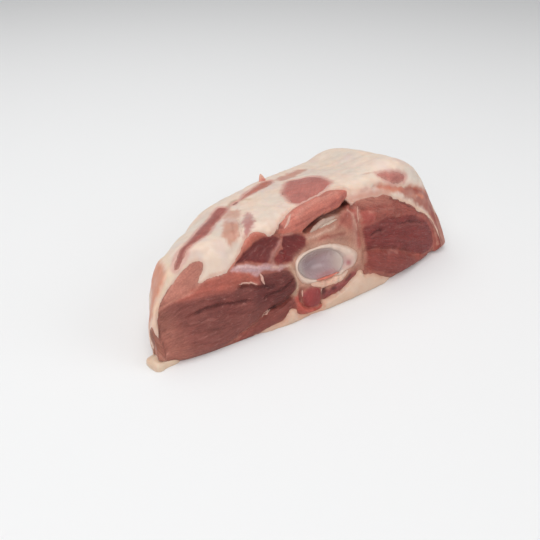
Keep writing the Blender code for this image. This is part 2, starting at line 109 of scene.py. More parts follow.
# Closed outlines on the skin, as (x, w).
OUTLINES = {
    "long_muscle": [(-138, 16), (-128, 33), (-122, 35.5), (-116, 38), (-107, 39), (-98, 40), (-88, 40),
                    (-77, 38), (-65, 37), (-57, 35), (-53.5, 33.5), (-52, 37), (-50, 38), (-44, 37.8),
                    (-37, 37), (-31, 35), (-28, 31), (-26.6, 27), (-27.5, 22), (-32.9, 17.5), (-38.4, 16),
                    (-42, 15.3), (-47.4, 14.4), (-57, 10), (-66, 6), (-73, 4.5), (-83, 1), (-96, -2),
                    (-106, -2), (-116, -2), (-130, 2)],
    "long_muscle_root": [(-58, 31), (-52, 33), (-51, 37), (-44, 37.6), (-37, 36.6), (-31, 34), (-27.6, 28),
                         (-28, 22), (-33, 18), (-40, 16.6), (-47, 16), (-53, 18), (-58, 24)],
    "flame_band": [(-108, 38), (-100, 41), (-93, 43.5), (-86.5, 45.6), (-81, 45.6), (-77, 45.3), (-73.3, 46),
                   (-70.3, 46.5), (-67, 44.6), (-62, 42.8), (-57, 40), (-53.7, 38), (-52.6, 34), (-54.5, 32),
                   (-58, 33.6), (-62, 34.6), (-66, 35), (-75, 34.5), (-88, 36.5), (-100, 37.5)],
    "pale_muscle": [(-84.8, 57), (-88, 58.5), (-92.5, 58.5), (-96.5, 57), (-100, 54.8), (-103.5, 52.5),
                    (-106.5, 49.5), (-110, 46), (-114.5, 41.5), (-110, 39.5), (-102, 40.5), (-95, 42),
                    (-91.5, 44.5), (-88, 49.2), (-85, 54)],
    "heel_muscle": [(-76, 0), (-72, 4.5), (-66, 6), (-57, 10), (-50, 13), (-44, 14.6), (-38.4, 15.6),
                    (-33, 16.8), (-30.5, 13), (-31, 9), (-35, 8), (-40, 5), (-46, 3), (-54, 1), (-62, -1),
                    (-70, -2)],
    "silver_seam": [(-70, 46.2), (-65, 47.7), (-61, 47.6), (-57, 46.3), (-52, 44), (-48, 43.4), (-43, 42.8),
                    (-40, 41.7), (-37, 39.8), (-31, 38.4), (-30.5, 37.4), (-36.5, 37.3), (-42, 38.3),
                    (-47.4, 39.7), (-51, 38.8), (-53.7, 38), (-57, 40), (-62, 42.8), (-67, 44.6)],
    "deep_left": [(-66.4, 48.4), (-61.5, 52), (-56, 55.6), (-51, 58), (-45, 59.8), (-40.5, 60), (-34.6, 58.5),
                  (-32.7, 54.5), (-35.7, 51.6), (-39, 50.4), (-41.7, 46.4), (-44, 44.1), (-49.5, 45.1),
                  (-55, 47.2), (-60, 48.3)],
    "deep_right": [(-29.5, 57), (-24.5, 56.5), (-19.4, 56), (-14.7, 53.5), (-14, 49.6), (-16.5, 45),
                   (-20.4, 42.2), (-25.3, 40.8), (-30, 40), (-34.4, 40.5), (-38, 42.6), (-38.3, 46),
                   (-35.5, 48), (-32, 49.6), (-31.6, 53)],
    "deep_lump": [(-38, 46.5), (-35.6, 48), (-32.5, 48.6), (-30, 46.5), (-31, 42.5), (-35, 40.8),
                  (-38.2, 42.6)],
    "rim_muscle": [(-71, 46.8), (-65.4, 52.4), (-60.3, 56.8), (-56.5, 61), (-51.2, 64.2), (-45.8, 65),
                   (-41.5, 62.6), (-39.5, 60.4), (-45, 59.8), (-51, 58), (-56, 55.6), (-61.5, 52),
                   (-66.4, 48.4)],
    "strap_muscle": [(-31, 59.5), (-29, 64), (-26, 67.5), (-22.6, 70.5), (-14, 73.5), (-5.5, 75),
                     (2.5, 76.3), (11, 78.3), (16, 78), (22.5, 75.8), (26.6, 73), (25.5, 69.5), (21.5, 66),
                     (13, 63), (1, 61), (-7, 59), (-13, 56.6), (-22, 57.4)],
    "joint_tissue": [(-13.5, 56), (-9, 54), (-4, 55), (2, 60), (10, 61.5), (20, 62.5), (26, 62), (31, 60),
                     (32.5, 54), (32, 46), (32, 38), (32.5, 30), (30.5, 22), (27, 17.5), (22, 16),
                     (15, 13.5), (6, 13), (-4, 13), (-14, 19), (-21, 21), (-24.8, 19.7), (-29, 15.7),
                     (-32.4, 17.3), (-29.6, 20.7), (-27, 24), (-26.5, 28), (-28.7, 32), (-31.7, 35.5),
                     (-31, 39.5), (-26, 41), (-19, 43.5), (-15, 46), (-13.5, 51)],
    "joint_streak": [(-5, 47), (1, 49), (6, 48.7), (12.5, 48), (18, 46.7), (18, 44.3), (12, 45.7),
                     (6.7, 45.7), (1.6, 45.5)],
    "side_tissue": [(14, 55), (18, 59.5), (24, 59), (30, 60), (31.5, 54), (31, 46), (31, 38), (28, 32),
                    (25, 34), (25, 42), (22, 47), (18, 50)],
    "left_end": [(-145, 44), (-126, 36), (-117, 37), (-113, 30), (-110, 20), (-108, 10), (-101, 3), (-92, -6),
                 (-145, -8)],
    # Painted light: paler paint on the left cap, which the lights reach less.
    "left_tip_painted_light": [(-145, 50), (-125.3, 42), (-124.9, 20), (-124.4, -4), (-145, -8)],
    "tubercle_side": [(15, 21.5), (19, 22.4), (23, 21.5), (22, 18.6), (18, 16.6), (15.4, 18)],
    "round_muscle": [(-24.6, 14.6), (-22.8, 17.8), (-19, 19.4), (-14.6, 18.6), (-11.2, 15.8), (-9.9, 12),
                     (-10.9, 8.2), (-13.8, 5.6), (-18, 4.8), (-21.8, 6.4), (-24.4, 10)],
    "red_wrap": [(-30, 15.5), (-27.5, 16.5), (-26.8, 11), (-24, 7), (-19.5, 4.6), (-14, 4.4), (-11, 3.4),
                 (-12, 1.6), (-18, 1.2), (-24, 2.4), (-28.5, 5), (-30.6, 9)],
    "small_long_muscle": [(-7.6, 14), (-2.6, 13.4), (1.6, 14.7), (6.8, 15.2), (11.6, 16.3), (15.4, 18.8),
                          (20, 19), (20, 16.3), (15, 14.2), (11.2, 12.2), (6.2, 10.1), (1.3, 8.5), (-4, 8),
                          (-8.6, 7.3), (-10.5, 9), (-9.8, 12)],
    "right_band": [(26, 66), (29.5, 64.6), (35.5, 64.3), (42.5, 63.6), (49.5, 62.6), (55.5, 61.8), (60, 60.3),
                   (66, 56.5), (70, 54.6), (82, 47.3), (89.5, 41.3), (97.3, 36), (103, 30.7), (107.5, 25),
                   (110, 18.7), (112, 10), (110, 2), (104, 2), (104, 14), (100, 26), (91, 35), (80, 40.6),
                   (68, 43), (56, 46), (44, 45), (33, 47), (31, 56)],
    "right_core": [(33.5, 45.5), (43.5, 45.3), (56, 46), (68, 42.8), (80, 41), (90, 36), (98, 30),
                   (103.4, 20), (102, 9), (95, 6), (85, 7), (76.5, 11), (69.3, 16), (62.5, 19.5),
                   (54.8, 22.5), (41.3, 27), (33, 29), (31.4, 38)],
    "right_lump": [(32.5, 54.3), (37, 55.5), (42.5, 52), (44.5, 48.5), (42, 45.8), (36, 46.5), (31.5, 49)],
    "right_lobe": [(32, 27), (36.5, 27.8), (44, 25.6), (53.3, 22.9), (58.6, 20.4), (65, 17.4), (72, 13.6),
                   (80, 9.6), (88, 6.4), (97, 4), (100, -2), (84, -2), (70, -1), (60, 1.5), (53, 4),
                   (46.5, 7.5), (38, 11), (32.5, 14.5), (30, 20)],
    "end_strip": [(101, 35), (104.5, 33), (107.5, 27.5), (109.6, 20), (110.4, 10), (108, 1), (105, 2),
                  (106.2, 10), (105.4, 19), (103.6, 27)],
    "blade_window": [(1.5, 108.5), (8.5, 118), (15, 121.6), (20, 120), (26.6, 116.5), (29, 109), (28, 100),
                     (26.3, 91), (23.5, 85.3), (17.3, 81.2), (13, 78.5), (10, 77.6), (2, 75.6), (-3, 74.8),
                     (-10.5, 74.4), (-12.4, 80), (-8.5, 89.4), (-5.4, 100), (-2, 105)],
    "long_window": [(-41, 110), (-53, 98), (-61.7, 90), (-70.5, 80), (-79.6, 74.7), (-86.4, 71.3),
                    (-92, 66.6), (-96, 61.3), (-99.5, 58.3), (-102, 56.5), (-104, 56.5), (-103.3, 59.3),
                    (-98.7, 65.6), (-94.5, 70.8), (-90, 74.3), (-83.6, 80.6), (-76.6, 88.6), (-68.2, 96.5),
                    (-60, 104.5), (-50.5, 114.4), (-42.6, 120)],
    "top_window": [(-28, 117), (-19, 126), (-13, 129), (-6, 133), (0, 136), (6, 138), (7, 134), (0, 125),
                   (-14, 121), (-25, 118)],
    "right_window": [(58, 77), (64, 75.4), (70, 74), (76, 71.6), (80.6, 68.4), (79, 65.6), (74, 64.9),
                     (67, 66.4), (61, 70.6), (56.6, 75)],
    "crease_window": [(72, 61.6), (80.8, 58.6), (95.5, 53.7), (96, 51), (80.5, 54), (73.5, 57.5)],
    "slit": [(-36, 113.6), (-33, 116), (-30.4, 117), (-31, 115.4), (-34, 113)],
    "left_blush": [(-99, 88), (-102.5, 78), (-105, 68), (-107.4, 59), (-110.6, 52), (-115.6, 45.6),
                   (-121, 40), (-124.6, 38), (-125, 46), (-122, 54), (-118, 64), (-113, 76), (-107, 88),
                   (-102, 96)],
    "left_strip": [(-124, 31), (-118, 40), (-112, 46), (-106, 52), (-104.4, 58), (-102, 66), (-99, 74),
                   (-96, 84), (-100, 84), (-104, 72), (-107, 60), (-111, 51), (-117, 44), (-122, 38)],
    "beige_tissue": [(-44.8, 104.4), (-38.5, 104.2), (-38.7, 98.4), (-46, 86.6), (-50, 77), (-55, 67.5),
                     (-58.8, 64), (-62.5, 60.5), (-66, 61), (-66.5, 64.5), (-66, 71.5), (-57.4, 85),
                     (-51.2, 95.2)],
    "mauve_tissue": [(-42.7, 87), (-37.4, 91), (-38.3, 84), (-42.2, 74.2), (-46, 69), (-49.3, 65.4),
                     (-54.5, 62.5), (-53.7, 67), (-50, 74.8)],
    "far_band": [(12, 136), (20, 139), (30, 142), (37, 141), (37, 134), (28, 131), (17, 128), (10, 128)],
    "orange_strip": [(50, 70), (57, 67.6), (64, 64.8), (72, 63.2), (81, 60.2), (95.5, 55.4), (103, 50),
                     (98, 46.5), (92, 49), (84, 52.4), (76, 56.2), (68, 60), (60, 63.4), (54, 66.4)],
    "right_rim": [(76, 54), (83, 49.4), (90, 43), (97.3, 38), (103.4, 32), (108, 25.6), (110.4, 18),
                  (112, 8), (118, 4), (124, 16), (121, 34), (116, 46), (108, 52), (99, 54), (90, 53),
                  (81, 56)],
    "red_strip": [(105.6, 40), (109, 38), (112, 31), (113, 22), (111, 19), (109.6, 26), (107.6, 33)],
    "grey_patch": [(77, 74), (86, 72), (96, 66), (98, 58), (90, 60), (80, 66)],
}

# The fat cover's front edge on the cut face, from the left tip to the right.
FAT_EDGE = [(-150, 10), (-132, 15), (-126, 21), (-124.6, 28), (-122.6, 34.5), (-119, 38.5), (-114.5, 43),
            (-110.5, 46.5), (-104.5, 51), (-100, 54.5), (-94, 57.5), (-88, 58), (-86.5, 54), (-90, 49),
            (-93, 44.5), (-86.5, 45.6), (-81, 45.6), (-77, 45.3), (-73.3, 46), (-70.3, 47.5), (-66.8, 49.5),
            (-63.3, 52.3), (-60.3, 55.7), (-57.3, 58.7), (-54.7, 62), (-51.5, 63.8), (-47.5, 64.3),
            (-43.6, 62.8), (-39.5, 61.4), (-36, 60.8), (-33, 62.2), (-31, 65), (-28.3, 67.6), (-22.6, 69.7),
            (-19.4, 71), (-14, 72.5), (-5.5, 74.5), (2.5, 75.5), (11, 77.7), (16, 77.4), (22.5, 75.4),
            (27, 73), (26, 68.4), (28, 65.5), (29.5, 64), (35.5, 63.5), (42.5, 62.8), (49.5, 62),
            (55.5, 61.5), (60, 60), (66, 56), (70, 54), (82, 46.5), (89.5, 40.3), (97.3, 35), (103, 29.7),
            (107.5, 24), (109.5, 18.7), (112, 10), (117, 3), (140, -4)]
# Where the cover's sheet starts under the meat, below that edge.
COVER_START = [(-126, 13), (-123, 26), (-119, 30), (-110, 37), (-86, 37), (-70, 39), (-60, 48), (-48, 57),
               (-33, 56), (-22, 63), (-7, 69), (16, 72), (24, 68), (29, 61), (34, 57), (60, 52), (82, 39),
               (97, 27), (107, 15), (119, 0)]
UNDER_FAT_EDGE = [(-64, -4), (-55, 1.8), (-50, 2.2), (-43, 3), (-40, 5), (-38, 8), (-34.5, 10), (-31.5, 8),
                  (-30.5, 5), (-27, 2.5), (-20, 1), (-12, 1.5), (-10, 5), (-8.6, 7), (-4, 7.8), (1.3, 8.3),
                  (6, 10), (11, 12), (15, 14), (20, 16), (21.6, 18), (24.8, 18), (26.8, 15.8), (28, 13.3),
                  (33, 12), (38, 10), (44, 6), (52, 1.5), (60, -5)]
# Corners off the skin that close the side of each edge where the fat is.
COVER_CORNERS = [(300, 0), (300, 500), (-300, 500), (-300, 20)]
UNDER_FAT_CORNERS = [(62, -60), (-66, -60)]
OPENINGS = ("blade_window", "long_window", "top_window", "right_window", "slit")

# Rounded or sunken muscles: height, and the distance from the outline over which it builds up.
SWELLS = {
    "long_muscle": (2.8, 5.0),
    "flame_band": (2.2, 3.0),
    "pale_muscle": (1.0, 3.0),
    "heel_muscle": (1.4, 2.5),
    "silver_seam": (0.5, 1.5),
    "deep_left": (-2.4, 2.0),
    "deep_right": (-2.0, 2.0),
    "deep_lump": (1.8, 1.6),
    "rim_muscle": (1.8, 1.6),
    "strap_muscle": (4.0, 3.6),
    "joint_streak": (-0.6, 1.5),
    "round_muscle": (3.0, 2.4),
    "red_wrap": (1.2, 1.2),
    "small_long_muscle": (1.8, 1.8),
    "right_band": (1.8, 3.0),
    "right_core": (1.4, 4.0),
    "right_lump": (1.6, 2.0),
    "right_lobe": (2.6, 3.0),
    "end_strip": (0.8, 1.6),
    "blade_window": (0.7, 3.0),
    "long_window": (0.5, 2.0),
    "top_window": (0.4, 2.0),
    "right_window": (0.4, 2.0),
}
# Grooves: depth, half width, course on the skin.
GROOVES = [
    (4.4, 1.7, [(-12, 56), (-7, 58), (0, 60), (9, 61.6), (16, 62), (22, 63.4), (27, 65.8)]),
    (2.6, 2.2, [(22, 65), (25, 66), (28, 64), (27.6, 61)]),
    (2.2, 1.4, [(-54, 12.4), (-47.4, 14.4), (-42, 15.3), (-38.4, 16), (-33, 17.3), (-29, 19)]),
    (1.3, 1.2, [(-73, 4.6), (-66, 6.4), (-60, 8.6), (-54, 11.4)]),
    (1.4, 1.1, [(-103.5, 27.5), (-98.5, 28.2), (-94, 28.7), (-88.5, 28.9), (-84, 28.5), (-79, 27.6),
                (-74, 26.5), (-68, 25.8), (-63.5, 24.7)]),
    (1.4, 1.1, [(-52, 23.3), (-45.6, 24.2), (-38.5, 24.9), (-34.2, 26.1), (-30, 28)]),
    (1.2, 1.5, [(-49.4, 29.6), (-47.5, 28.5), (-45, 28.4)]),
    (1.3, 1.0, [(-67, 35), (-62, 34.5), (-58, 33.2), (-55, 31.2), (-52.5, 30.6)]),
    (0.6, 1.0, [(-116, 24), (-108, 22.5), (-100, 21), (-90, 19.6)]),
    (0.6, 0.9, [(-104, 17), (-94, 15.5), (-84, 13), (-76, 12)]),
    (0.6, 0.9, [(-108, 33.5), (-98, 33.4), (-88, 32.6), (-76, 31)]),
    (0.6, 0.9, [(-82, 21), (-72, 19), (-62, 17)]),
    (0.5, 0.9, [(-114, 12), (-104, 9.5), (-94, 7), (-84, 6)]),
    (1.6, 1.3, [(-24.5, 20), (-26.6, 16), (-26, 11), (-22.6, 6.4), (-17.4, 3.6)]),
    (1.8, 1.3, [(-6, 16), (-8.6, 13), (-10.2, 10), (-11, 6)]),
    (1.2, 1.2, [(31, 49), (31, 42), (31, 35), (31, 29), (29, 22), (31, 15)]),
    (1.0, 1.4, [(31, 28.6), (41.3, 27), (54.8, 22.5), (62.5, 19.5), (69.3, 16), (76.5, 11), (86, 7)]),
    (1.1, 1.0, [(39, 37.8), (43, 38.7), (48, 38.5)]),
    (0.8, 0.8, [(68, 37), (74, 36), (80, 34.5), (86, 32.5), (90, 30.5)]),
    (0.5, 0.8, [(50, 33), (60, 32), (70, 28), (80, 24), (90, 20)]),
    (0.5, 0.8, [(46, 44), (56, 45), (66, 42.6), (76, 40.4), (86, 37)]),
    (1.0, 0.8, [(61.5, 57.3), (67.2, 55), (73, 51), (80.3, 45.7), (86.3, 42), (94, 36.4)]),
    (1.2, 1.2, [(-40, 61), (-35, 59.8), (-31, 60)]),
    (1.2, 1.0, [(-31, 63), (-30, 61), (-31, 58.6)]),
    (1.0, 1.1, [(-31, 58), (-24, 56.6), (-15, 55.6)]),
    (0.9, 0.9, [(-17, 56), (-13.8, 52), (-14.6, 47), (-19, 43), (-25, 40.8)]),
]
# Folds and dimples of the fat cover: depth, half width, course.
FOLDS = [
    (1.8, 1.6, [(49, 69.6), (54, 68.6), (60, 67), (69, 63.9), (81, 60.4), (90, 57), (96, 54.5)]),
    (0.6, 1.4, [(46, 83), (52, 81), (58, 79), (66, 77)]),
    (0.7, 1.8, [(27, 75), (34, 73.4), (42, 71.4), (49, 69.6)]),
    (0.7, 2.0, [(-84, 60), (-78, 63), (-73, 60), (-69, 55)]),
    (0.7, 1.4, [(-46, 87), (-50, 77), (-55, 67), (-59, 62)]),
    (0.6, 1.6, [(-40, 108), (-42, 99), (-46, 90)]),
    (0.6, 2.5, [(-40, 86), (-38, 78), (-40, 71), (-45, 66)]),
    (0.8, 2.0, [(-111, 48), (-107, 55), (-103.6, 64), (-101, 76), (-97, 88)]),
    (0.5, 3.0, [(36, 92), (50, 96), (66, 94), (80, 88)]),
    (0.5, 3.0, [(24, 128), (40, 122), (58, 112), (78, 104)]),
    (0.5, 2.4, [(-20, 84), (-24, 96), (-22, 108), (-16, 116)]),
]
# Tight, puffed places of the fat cover: height, centre, half length, half width, slope.
PUFFS = [
    (0.4, (-76, 55), 13, 6, -0.1),
    (0.8, (-38, 68), 9, 5, -0.2),
    (0.7, (-26, 80), 14, 8, 0.6),
    (0.6, (40, 76), 16, 5, -0.2),
    (0.7, (62, 90), 26, 9, -0.2),
    (0.5, (86, 70), 12, 6, -0.5),
    (0.3, (30, 124), 26, 9, 0.2),
    (0.4, (-20, 134), 28, 8, 0.4),
    (0.9, (90, 63), 9, 3, -0.4),
    (2.2, (-107, 84), 9, 17, 0.3),
]
# Broad places where the roast has settled lower: depth, centre, half length, half width.
SETTLED = [
    (5.4, (-74, 118), 25, 20),
    (2.6, (-86, 94), 13, 14),
    (3.6, (28, 132), 26, 22),
    (2.8, (58, 138), 18, 16),
]

# Paint of the cut muscles in screen colours, from the ground up: outline, colour, edge softness, strength.
MEAT_GROUND = (186, 116, 98)
MEAT_FILM, MEAT_BORDER = (208, 158, 148), (212, 156, 138)
MEAT_RAGGED = 1.6
MEAT_PAINT = [
    ("pale_muscle", (209, 139, 121), 2.6, 1.0),
    ("heel_muscle", (160, 85, 74), 1.4, 1.0),
    ("long_muscle", (155, 89, 79), 3.2, 1.0),
    ("left_end", (202, 132, 113), 7.0, 0.72),
    # Painted light on the left tip's cap.
    ("left_tip_painted_light", (222, 158, 138), 1.2, 0.9),
    ("long_muscle_root", (112, 44, 42), 5.0, 0.75),
    ("flame_band", (188, 103, 87), 2.4, 1.0),
    ("rim_muscle", (202, 114, 94), 1.2, 1.0),
    ("right_band", (184, 99, 84), 2.0, 1.0),
    ("right_core", (146, 58, 53), 3.4, 1.0),
    ("right_lobe", (160, 75, 65), 2.8, 1.0),
    ("right_lump", (178, 84, 74), 2.0, 0.9),
    ("end_strip", (172, 80, 66), 1.2, 1.0),
    ("joint_tissue", (190, 135, 114), 1.4, 1.0),
    ("side_tissue", (178, 98, 83), 2.4, 0.9),
    ("joint_streak", (170, 99, 82), 1.6, 0.9),
    ("tubercle_side", (150, 80, 66), 1.2, 0.8),
    ("deep_left", (126, 49, 46), 1.2, 1.0),
    ("deep_right", (123, 42, 40), 1.2, 1.0),
    ("deep_lump", (148, 56, 52), 1.6, 0.85),
    ("silver_seam", (207, 166, 166), 1.0, 0.88),
    ("strap_muscle", (218, 132, 114), 1.2, 1.0),
    ("small_long_muscle", (150, 71, 68), 1.0, 1.0),
    ("red_wrap", (204, 92, 78), 1.6, 0.92),
    ("round_muscle", (160, 64, 63), 1.0, 1.0),
    ("blade_window", (200, 125, 114), 1.5, 1.0),
    ("long_window", (176, 99, 89), 1.0, 1.0),
    ("top_window", (196, 125, 108), 1.0, 1.0),
    ("right_window", (200, 128, 117), 1.2, 1.0),
    ("slit", (120, 84, 66), 1.0, 1.0),
]
# Lines of colour: colour, half width, strength, course. Dark lines along the grooves are painted shade.
MEAT_LINES = [
    ((216, 178, 162), 1.5, 0.6, [(-84.8, 57.5), (-84.6, 54), (-86.6, 50.6), (-89.4, 47.4)]),
    ((224, 184, 166), 1.8, 0.7, [(2, 60.4), (8, 60.6), (13, 59.6)]),
    ((216, 182, 162), 1.2, 0.6, [(-12, 51), (-5, 50.6), (3, 51.6), (10, 52.6)]),
    ((150, 72, 62), 1.2, 0.5, [(13, 51), (18, 54.6), (22, 57.6), (25, 60)]),
    ((182, 88, 76), 3.4, 0.7, [(25, 61), (28, 58), (29.6, 54)]),
    ((216, 172, 154), 0.7, 0.6, [(23.4, 60.4), (26.4, 56.6), (27.6, 51), (28, 45)]),
    ((212, 172, 154), 1.6, 0.35, [(24, 33), (25.6, 40), (26.4, 48), (27, 56)]),
    # Painted shadow in the cleft under the strap muscle.
    ((96, 44, 40), 1.5, 0.75, [(-12, 56), (-7, 58.2), (0, 60.2), (9, 61.6), (16, 62.2), (22, 63.6),
                               (27, 66)]),
    # Painted shadow, darker, in the notch at the cleft's right end.
    ((84, 30, 30), 2.0, 0.8, [(20, 64.6), (24, 66), (27, 65), (28.4, 61.6)]),
    ((116, 46, 44), 10.0, 0.5, [(-84, 27), (-70, 26), (-56, 25)]),
    # Painted shade in the groove at the long muscle's lower edge, darkest at one spot.
    ((84, 36, 36), 0.9, 0.7, [(-52, 13.6), (-47.4, 14.4), (-42, 15.3), (-38.4, 16), (-34, 17.2)]),
    ((58, 16, 22), 1.1, 0.85, [(-49.6, 14.2), (-47.6, 14.4), (-45.6, 14.8)]),
    # Painted shade in the groove across the long muscle.
    ((100, 48, 45), 0.8, 0.8, [(-98.5, 28.2), (-94, 28.7), (-88.5, 28.9), (-84, 28.5), (-79, 27.6),
                               (-74, 26.5), (-68, 25.8), (-64.5, 24.9)]),
    # Painted shade in the grooves near the long muscle's right end.
    ((98, 46, 44), 0.8, 0.75, [(-52, 23.3), (-45.6, 24.2), (-38.5, 24.9), (-34.2, 26.1), (-31, 27.6)]),
    ((92, 40, 40), 1.6, 0.7, [(-49.6, 29.4), (-47.5, 28.5), (-45, 28.6)]),
    # Painted shade in the groove under the flame band.
    ((104, 50, 46), 1.0, 0.7, [(-66, 34.2), (-62, 33.8), (-58, 32.6), (-55, 31), (-51, 30)]),
    # Painted highlight along the flame band's lower side.
    ((216, 152, 134), 0.6, 0.7, [(-66.5, 36.2), (-62, 35.8), (-58, 34.6), (-55, 32.8)]),
    ((204, 110, 88), 2.4, 0.5, [(-68, 41), (-62, 39), (-57, 37)]),
    # Painted highlight along the lower side of the pale muscle and the flame band.
    ((210, 145, 126), 1.0, 0.5, [(-120, 37.4), (-112, 39), (-104, 40), (-96, 41.4), (-92, 44)]),
    ((226, 200, 198), 0.7, 0.6, [(-66, 46.6), (-61, 46.4), (-57, 45), (-52, 43)]),
    ((188, 160, 166), 1.0, 0.6, [(-62, 44.6), (-56, 42.4), (-50, 41.4), (-44, 40.6)]),
    ((214, 176, 160), 0.8, 0.8, [(-42, 40.6), (-38, 39.4), (-33, 38.2), (-29, 37.8)]),
    ((196, 140, 130), 1.15, 0.8, [(-32.5, 54.6), (-36, 50.6), (-39, 48.8), (-40.7, 45.6), (-40.8, 43)]),
    ((152, 96, 92), 0.7, 0.55, [(-50, 53), (-47.6, 55.4), (-44.4, 55), (-43, 52.6), (-45, 50.6)]),
    ((170, 110, 106), 1.0, 0.5, [(-53.6, 52.2), (-52, 53)]),
    ((140, 62, 58), 2.0, 0.5, [(-47, 47.6), (-44.4, 48.2)]),
    # Painted shade in the small groove at the strap muscle's left end.
    ((96, 40, 38), 1.6, 0.7, [(-29.8, 65), (-29.2, 63.2)]),
    ((206, 150, 136), 0.8, 0.6, [(-31, 58.4), (-27, 57.6), (-22, 57)]),
    ((208, 134, 116), 1.6, 0.6, [(-21, 69.6), (-14, 72), (-4, 73.6), (6, 75.6), (14, 76.4), (20, 75.4)]),
    # Painted highlight along the strap muscle's rounded top.
    ((224, 162, 144), 1.8, 0.5, [(-18, 66), (-10, 69), (0, 71), (10, 72.4), (17, 73)]),
    ((222, 160, 142), 1.4, 0.5, [(-26, 63), (-24, 66), (-20, 68.4)]),
    # Painted shade along the strap muscle's lower side.
    ((160, 80, 72), 1.0, 0.45, [(-20, 61.6), (-8, 63.6), (4, 66), (14, 68.6)]),
    # Painted highlight along the right band.
    ((214, 146, 128), 1.8, 0.5, [(36, 60), (44, 59), (52, 57.6), (60, 54.6)]),
    ((214, 146, 130), 1.2, 0.45, [(40, 53.6), (48, 52.6), (56, 51.4), (64, 49)]),
    ((150, 66, 60), 1.6, 0.5, [(10, 65.6), (17, 67.8), (23, 70.6)]),
    ((92, 26, 28), 1.5, 0.8, [(-34, 48.2), (-33.2, 47.6), (-32.8, 47)]),
    ((214, 130, 112), 0.7, 0.6, [(-35, 49.4), (-33.4, 49.8), (-31.6, 49.4)]),
    ((218, 190, 164), 1.2, 0.7, [(-29, 37.6), (-27, 32), (-26.6, 27), (-27.4, 22.4), (-29.6, 18)]),
    # Painted shade in the groove beside the round muscle.
    ((132, 52, 44), 1.0, 0.6, [(-25.6, 19), (-26.4, 16.4), (-26.6, 13.6)]),
    ((226, 120, 102), 1.0, 0.7, [(-28.6, 11), (-26.4, 6.8), (-23, 4.6), (-18.6, 3)]),
    # Painted shade in the groove at the small long muscle's left end.
    ((84, 42, 42), 1.2, 0.75, [(-6, 15.5), (-7.6, 13.8), (-9, 12)]),
    ((70, 34, 34), 1.2, 0.7, [(-1, 12.6), (0.6, 12.8)]),
    ((80, 40, 38), 0.9, 0.7, [(11, 15.4), (13, 16.4), (15, 17.6)]),
    ((206, 156, 138), 1.0, 0.6, [(-9.6, 14), (-10.4, 11), (-11, 7.6)]),
    ((206, 134, 114), 3.2, 0.7, [(30, 63), (38, 62.2), (46, 61.4), (54, 60), (60, 58.6)]),
    ((196, 136, 120), 1.2, 0.6, [(31, 60), (31, 56.5), (30.7, 50), (31, 47)]),
    ((206, 150, 134), 0.7, 0.6, [(32.4, 60), (32.2, 56), (31.8, 52)]),
    # Painted shade in the short groove in the right core.
    ((84, 34, 34), 0.8, 0.75, [(39, 37.8), (43, 38.9), (48, 38.7)]),
    ((166, 104, 96), 0.7, 0.6, [(38.6, 36.4), (43, 37.3), (48, 37.2), (52, 37.6)]),
    # Painted shade in the groove across the right core.
    ((100, 46, 43), 0.9, 0.55, [(68, 37.4), (74, 36.4), (80, 34.9), (86, 32.9), (90, 30.9)]),
    ((160, 92, 84), 1.1, 0.6, [(62, 36), (68, 35.6), (74, 34.6), (80, 33), (86, 31), (91, 28)]),
    ((160, 92, 86), 0.8, 0.4, [(36, 42), (44, 43), (52, 42), (60, 39.6)]),
    ((150, 84, 78), 0.9, 0.35, [(44, 33.6), (54, 31), (64, 26.6), (74, 21)]),
    # Painted shade in the groove below the fat's edge on the right.
    ((106, 46, 42), 0.7, 0.75, [(61.5, 57.3), (67.2, 55), (73, 51), (80.3, 45.7), (86.3, 42), (94, 36.6)]),
    ((178, 96, 78), 2.2, 0.45, [(78, 9), (86, 5.6), (93, 3)]),
    ((212, 146, 134), 1.3, 0.55, [(52, 21.6), (56, 21), (60, 19)]),
    ((206, 152, 132), 0.7, 0.6, [(99, 33.4), (103.6, 27.4), (106, 19), (106.6, 10)]),
    ((146, 56, 46), 1.1, 0.6, [(103, 34), (107, 28), (108.6, 20), (108.6, 12)]),
    # Painted shade, faint, in the groove along the right core's lower edge.
    ((110, 52, 48), 1.6, 0.3, [(33, 29.6), (41.3, 28), (54.8, 23.4), (62.5, 20.4), (69.3, 17)]),
    ((142, 52, 44), 1.6, 0.8, [(77, 56.6), (82, 55), (88, 54), (94, 52.8)]),
    ((212, 140, 116), 1.7, 0.6, [(-125.6, 26), (-125.6, 18), (-124.8, 10), (-121, 4)]),
    ((222, 164, 148), 0.9, 0.6, [(-124, 11.4), (-122.4, 10.8), (-120.6, 10.8)]),
    ((200, 138, 122), 0.6, 0.6, [(-71, 6), (-68, 7.5), (-65, 8.6)]),
    ((196, 128, 116), 0.8, 0.45, [(-96, 21.2), (-93, 21.5), (-89, 21.2)]),
    ((190, 124, 112), 0.8, 0.4, [(-101, 12.3), (-99, 12.5), (-96, 12.3)]),
    ((190, 124, 112), 0.7, 0.4, [(-103.6, 23), (-102, 23), (-99, 22.8)]),
    ((190, 124, 112), 0.7, 0.4, [(-72, 24), (-70, 24), (-67, 23.6)]),
    ((190, 124, 112), 0.8, 0.4, [(-94, 8.6), (-92, 8.5), (-89, 8.2)]),
]
FAT_GROUND = (231, 209, 192)
COVER_EDGE, COVER_FILM = (214, 160, 140), (203, 146, 136)
FAT_RAGGED = 2.6
LOW_FAT_TONE, LOW_FAT_BLUSH = (214, 180, 156), (214, 158, 134)
TAB_TONE = (220, 192, 167)
FLAP_ROOT, FLAP_TIP = (196, 104, 94), (226, 178, 160)
